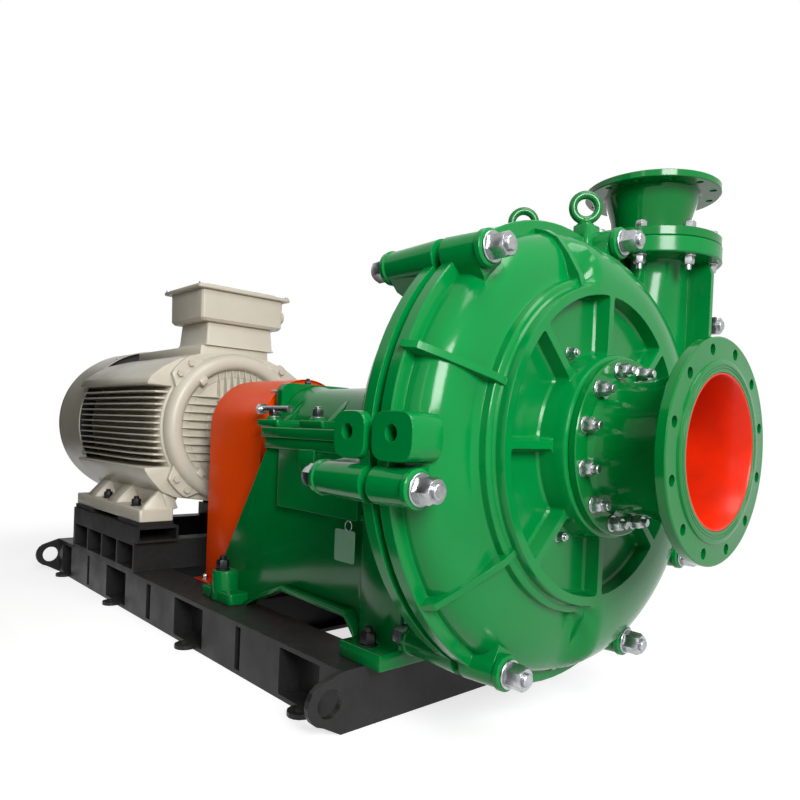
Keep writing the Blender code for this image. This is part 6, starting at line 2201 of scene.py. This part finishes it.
    def build_hardware(self) -> None:
        """Fits the shield bolts, the foot bolts and the lifting lug."""
        bolts = []
        for corner in (45, 135, 225, 315):
            for off in (-5.4, 5.4):
                y, z = polar(0.311, corner + off)
                bolts.append(hexagon("shield_bolt", (back(1.8862), y, z), AHEAD, 0.024, 0.012, 10))
        self.shop.fit(gather("shield_bolts", bolts), MOTOR_GREY)
        feet = []
        for side in (-1, 1):
            for place in (2.06, 2.358):
                base = (back(place), side * 0.318, up(self.base + self.foot_thick))
                feet += fastener(f"motor_foot_{side}_{place}", base, OVERHEAD, 0.03, 0.01)
        self.shop.fit(gather("motor_foot_bolts", feet), BLACK_OXIDE)
        lug = soften(slab("lifting_lug", (back(1.935), 0.128, up(0.285)), (back(1.919), 0.146, up(0.345))), 0.003)
        self.shop.fit(lug, BLACK_OXIDE)


@dataclass
class SkidDetails:
    """What the welder leaves on the skid: the beads along its joints."""

    shop: Paintshop
    half: float = 0.37
    front: float = 0.68
    rear: float = 2.83
    beam: float = 0.15

    def build(self) -> None:
        """Lays the beads along the joints of beams and end plates."""
        beads = []
        for side in (-1, 1):
            for place in (self.front + 0.016, self.rear - 0.016):
                y = side * (self.half + 0.0005)
                beads.append(tube("bead", [(back(place), y, 0.012 + 0.01 * k) for k in range(13)], 0.0028, 8))
            for place in (1.36, 1.44, 2.065, 2.145):
                y = side * (self.half - self.beam)
                beads.append(
                    tube("bead", [(back(place), y - side * 0.001, 0.02 + 0.01 * k) for k in range(12)], 0.0028, 8)
                )
        self.shop.fit(gather("weld_beads", beads), SKID_BLACK)


@dataclass(frozen=True)
class Softbox:
    """One area lamp of the studio."""

    label: str
    place: Point
    aim: Point
    size: Flat
    watts: float
    colour: str = "#FFFFFF"

    def build(self) -> None:
        """Hangs the lamp and turns it to its aim."""
        lamp = bpy.data.lights.new(self.label, "AREA")
        lamp.shape = "RECTANGLE"
        lamp.size, lamp.size_y = self.size
        lamp.energy = self.watts
        lamp.color = srgb(self.colour)[:3]
        holder = bpy.data.objects.new(self.label, lamp)
        holder.location = self.place
        holder.rotation_euler = (Vector(self.aim) - Vector(self.place)).to_track_quat("-Z", "Y").to_euler()
        bpy.context.scene.collection.objects.link(holder)


@dataclass
class Studio:
    """The floor, the lamps, the surrounding light and the camera."""

    camera_place: Point = (1.951, -1.35, 0.709)
    azimuth: float = 47.47
    pitch: float = -0.89
    roll: float = 2.32
    lens_mm: float = 30.71
    shift: float = 0.052
    floor_shade: str = "#B9B9B9"
    backdrop: str = "#FFFFFF"
    floor_lift: float = 0.7
    floor_near: float = 1.9
    floor_far: float = 3.2
    fill: float = 0.05
    flags: tuple[tuple[Point, Point], ...] = (
        ((-5.0, -1.96, 0.02), (0.7, -1.94, 2.3)), ((-5.0, -1.94, 0.01), (0.7, -0.75, 0.014)),
        ((-5.0, -1.94, 0.02), (-4.98, 0.3, 2.3))
    )
    flag_shade: str = "#0A0A0A"
    lamps: tuple[Softbox, ...] = (
        Softbox("lamp_key_front", (4.2, -1.8, 2.3), (0.2, 0.0, 0.7), (1.6, 1.6), 210.0),
        Softbox("lamp_top", (2.2, -0.1, 3.8), (0.8, 0.0, 0.7), (1.8, 1.6), 60.0),
        Softbox("lamp_camera_strip", (2.1, -4.2, 2.3), (0.9, 0.0, 0.8), (0.35, 2.4), 8.0),
        Softbox("lamp_back_rim", (-1.2, 3.8, 2.6), (0.0, 0.0, 0.6), (3.0, 1.2), 25.0)
    )

    def build(self) -> None:
        """Sets up the whole studio."""
        self.build_floor()
        self.build_flag()
        for lamp in self.lamps:
            lamp.build()
        self.build_world()
        self.build_camera()

    def build_floor(self) -> None:
        """Lays a wide pale floor just under the skid."""
        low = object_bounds()[0]
        floor = slab("studio_floor", (-9.0, -9.0, low[2] - 0.024), (9.0, 9.0, low[2] - 0.0005))
        material = bpy.data.materials.new("studio_floor_paint")
        material.use_nodes = True
        self.paint_floor(material.node_tree)
        floor.data.materials.append(material)
        floor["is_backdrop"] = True

    def build_flag(self) -> None:
        """Stands black panels to the left, which only gloss sees: they keep the enamel's near side deep in colour."""
        material = bpy.data.materials.new("studio_flag_cloth")
        material.use_nodes = True
        tree = material.node_tree
        tree.nodes.clear()
        cloth = add_node(tree, "ShaderNodeBsdfDiffuse", {"Color": srgb(self.flag_shade)})
        add_node(tree, "ShaderNodeOutputMaterial", {}, {"Surface": cloth.outputs["BSDF"]})
        for k, (low, high) in enumerate(self.flags):
            flag = slab(f"studio_flag_{k + 1}", low, high)
            flag.data.materials.append(material)
            flag.visible_camera = False
            flag.visible_diffuse = False
            flag.visible_transmission = False
            flag.visible_shadow = False
            flag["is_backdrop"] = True

    def paint_floor(self, tree: Tree) -> None:
        """Paints the floor pale near the object, where it takes the shadow, and white far off.

        Args:
            tree: The floor material's nodes.
        """
        tree.nodes.clear()
        paint = add_node(tree, "ShaderNodeBsdfPrincipled", {"Base Color": srgb(self.floor_shade), "Roughness": 0.9})
        lift = add_node(tree, "ShaderNodeEmission", {"Color": srgb(self.backdrop), "Strength": self.floor_lift})
        white = add_node(tree, "ShaderNodeEmission", {"Color": srgb(self.backdrop), "Strength": 1.0})
        seen = self.backdrop_rays(tree)
        lifted = add_node(tree, "ShaderNodeAddShader", {}, {0: paint.outputs["BSDF"], 1: lift.outputs["Emission"]})
        near = add_node(
            tree, "ShaderNodeMixShader", {}, {"Fac": seen, 1: paint.outputs["BSDF"], 2: lifted.outputs["Shader"]}
        )
        place = add_node(tree, "ShaderNodeTexCoord").outputs["Object"]
        reach = add_node(tree, "ShaderNodeVectorMath", {"operation": "LENGTH"}, {0: place})
        far = add_node(
            tree, "ShaderNodeMapRange",
            {"interpolation_type": "SMOOTHSTEP", "From Min": self.floor_near, "From Max": self.floor_far},
            {"Value": reach.outputs["Value"]}
        )
        both = add_node(tree, "ShaderNodeMath", {"operation": "MULTIPLY"}, {0: far.outputs["Result"], 1: seen})
        mixed = add_node(
            tree, "ShaderNodeMixShader", {},
            {"Fac": both.outputs["Value"], 1: near.outputs["Shader"], 2: white.outputs["Emission"]}
        )
        add_node(tree, "ShaderNodeOutputMaterial", {}, {"Surface": mixed.outputs["Shader"]})

    @staticmethod
    def backdrop_rays(tree: Tree) -> Socket:
        """One where the backdrop itself is seen: straight, in gloss or through glass.

        Args:
            tree: The nodes that ask.

        Returns:
            The socket that tells.
        """
        seen = add_node(tree, "ShaderNodeLightPath")
        found = seen.outputs["Is Camera Ray"]
        for other in ("Is Glossy Ray", "Is Transmission Ray"):
            either = add_node(tree, "ShaderNodeMath", {"operation": "MAXIMUM"}, {0: found, 1: seen.outputs[other]})
            found = either.outputs["Value"]
        return found

    def build_world(self) -> None:
        """Fills the surroundings with soft light, and shows a white backdrop behind the object."""
        world = bpy.data.worlds.new("studio_world")
        world.use_nodes = True
        tree = world.node_tree
        tree.nodes.clear()
        fill = add_node(tree, "ShaderNodeBackground", {"Color": srgb("#FFFFFF"), "Strength": self.fill})
        shown = add_node(tree, "ShaderNodeBackground", {"Color": srgb(self.backdrop), "Strength": 1.0})
        mixed = add_node(
            tree, "ShaderNodeMixShader", {},
            {"Fac": self.backdrop_rays(tree), 1: fill.outputs["Background"], 2: shown.outputs["Background"]}
        )
        add_node(tree, "ShaderNodeOutputWorld", {}, {"Surface": mixed.outputs["Shader"]})
        bpy.context.scene.world = world

    def build_camera(self) -> None:
        """Places the camera at the photograph's angle."""
        scene = bpy.context.scene
        view = bpy.data.cameras.new("photo_camera")
        view.sensor_width = 36.0
        view.lens = self.lens_mm
        view.shift_y = self.shift
        view.clip_end = 60.0
        holder = bpy.data.objects.new("photo_camera", view)
        scene.collection.objects.link(holder)
        azimuth, pitch, roll = (math.radians(a) for a in (self.azimuth, self.pitch, self.roll))
        ahead = Vector((-math.sin(azimuth) * math.cos(pitch), math.cos(azimuth) * math.cos(pitch), math.sin(pitch)))
        level = Vector((math.cos(azimuth), math.sin(azimuth), 0.0))
        above = level.cross(ahead)
        right = level * math.cos(roll) + above * math.sin(roll)
        top = above * math.cos(roll) - level * math.sin(roll)
        turn = Matrix((right, top, -ahead)).transposed().to_4x4()
        holder.matrix_world = Matrix.Translation(self.camera_place) @ turn
        scene.camera = holder
        scene.view_settings.view_transform = "Standard"


@dataclass
class CarriedSolids:
    """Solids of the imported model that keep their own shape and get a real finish."""

    shop: Paintshop
    finishes: tuple[Finish, ...] = (
        CAST_GREEN, SHEET_ORANGE, MOTOR_GREY, SKID_BLACK, ZINC, TURNED_STEEL, WHITE_IRON, LAMINATED, PACKING,
        FAN_BLACK, RED_LINING
    )

    def dress(self, nodes: dict[str, Piece]) -> None:
        """Gives every solid that is still shown its finish.

        Args:
            nodes: The frame's solids by name.
        """
        for node in nodes.values():
            if node.hide_render:
                continue
            current = node.material_slots[0].material.name if node.material_slots else ""
            finish = next((f for f in self.finishes if f.slot in current), CAST_GREEN)
            self.shop.redress(node, finish)


def main() -> None:
    """Builds the pump set from the skid up, then the studio."""
    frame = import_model()
    shop = Paintshop()
    PumpCasing(shop).build()
    SuctionAdapter(shop).build()
    DischargeSpool(shop).build()
    LiftingEyes(shop).build()
    BearingBracket(shop).build()
    BearingAssembly(shop).build()
    CouplingGuard(shop).build()
    Coupling(shop).build()
    Motor(shop).build()
    SkidDetails(shop).build()
    CarriedSolids(shop).dress(frame["nodes"])
    Studio().build()


if __name__ == "__main__":
    main()
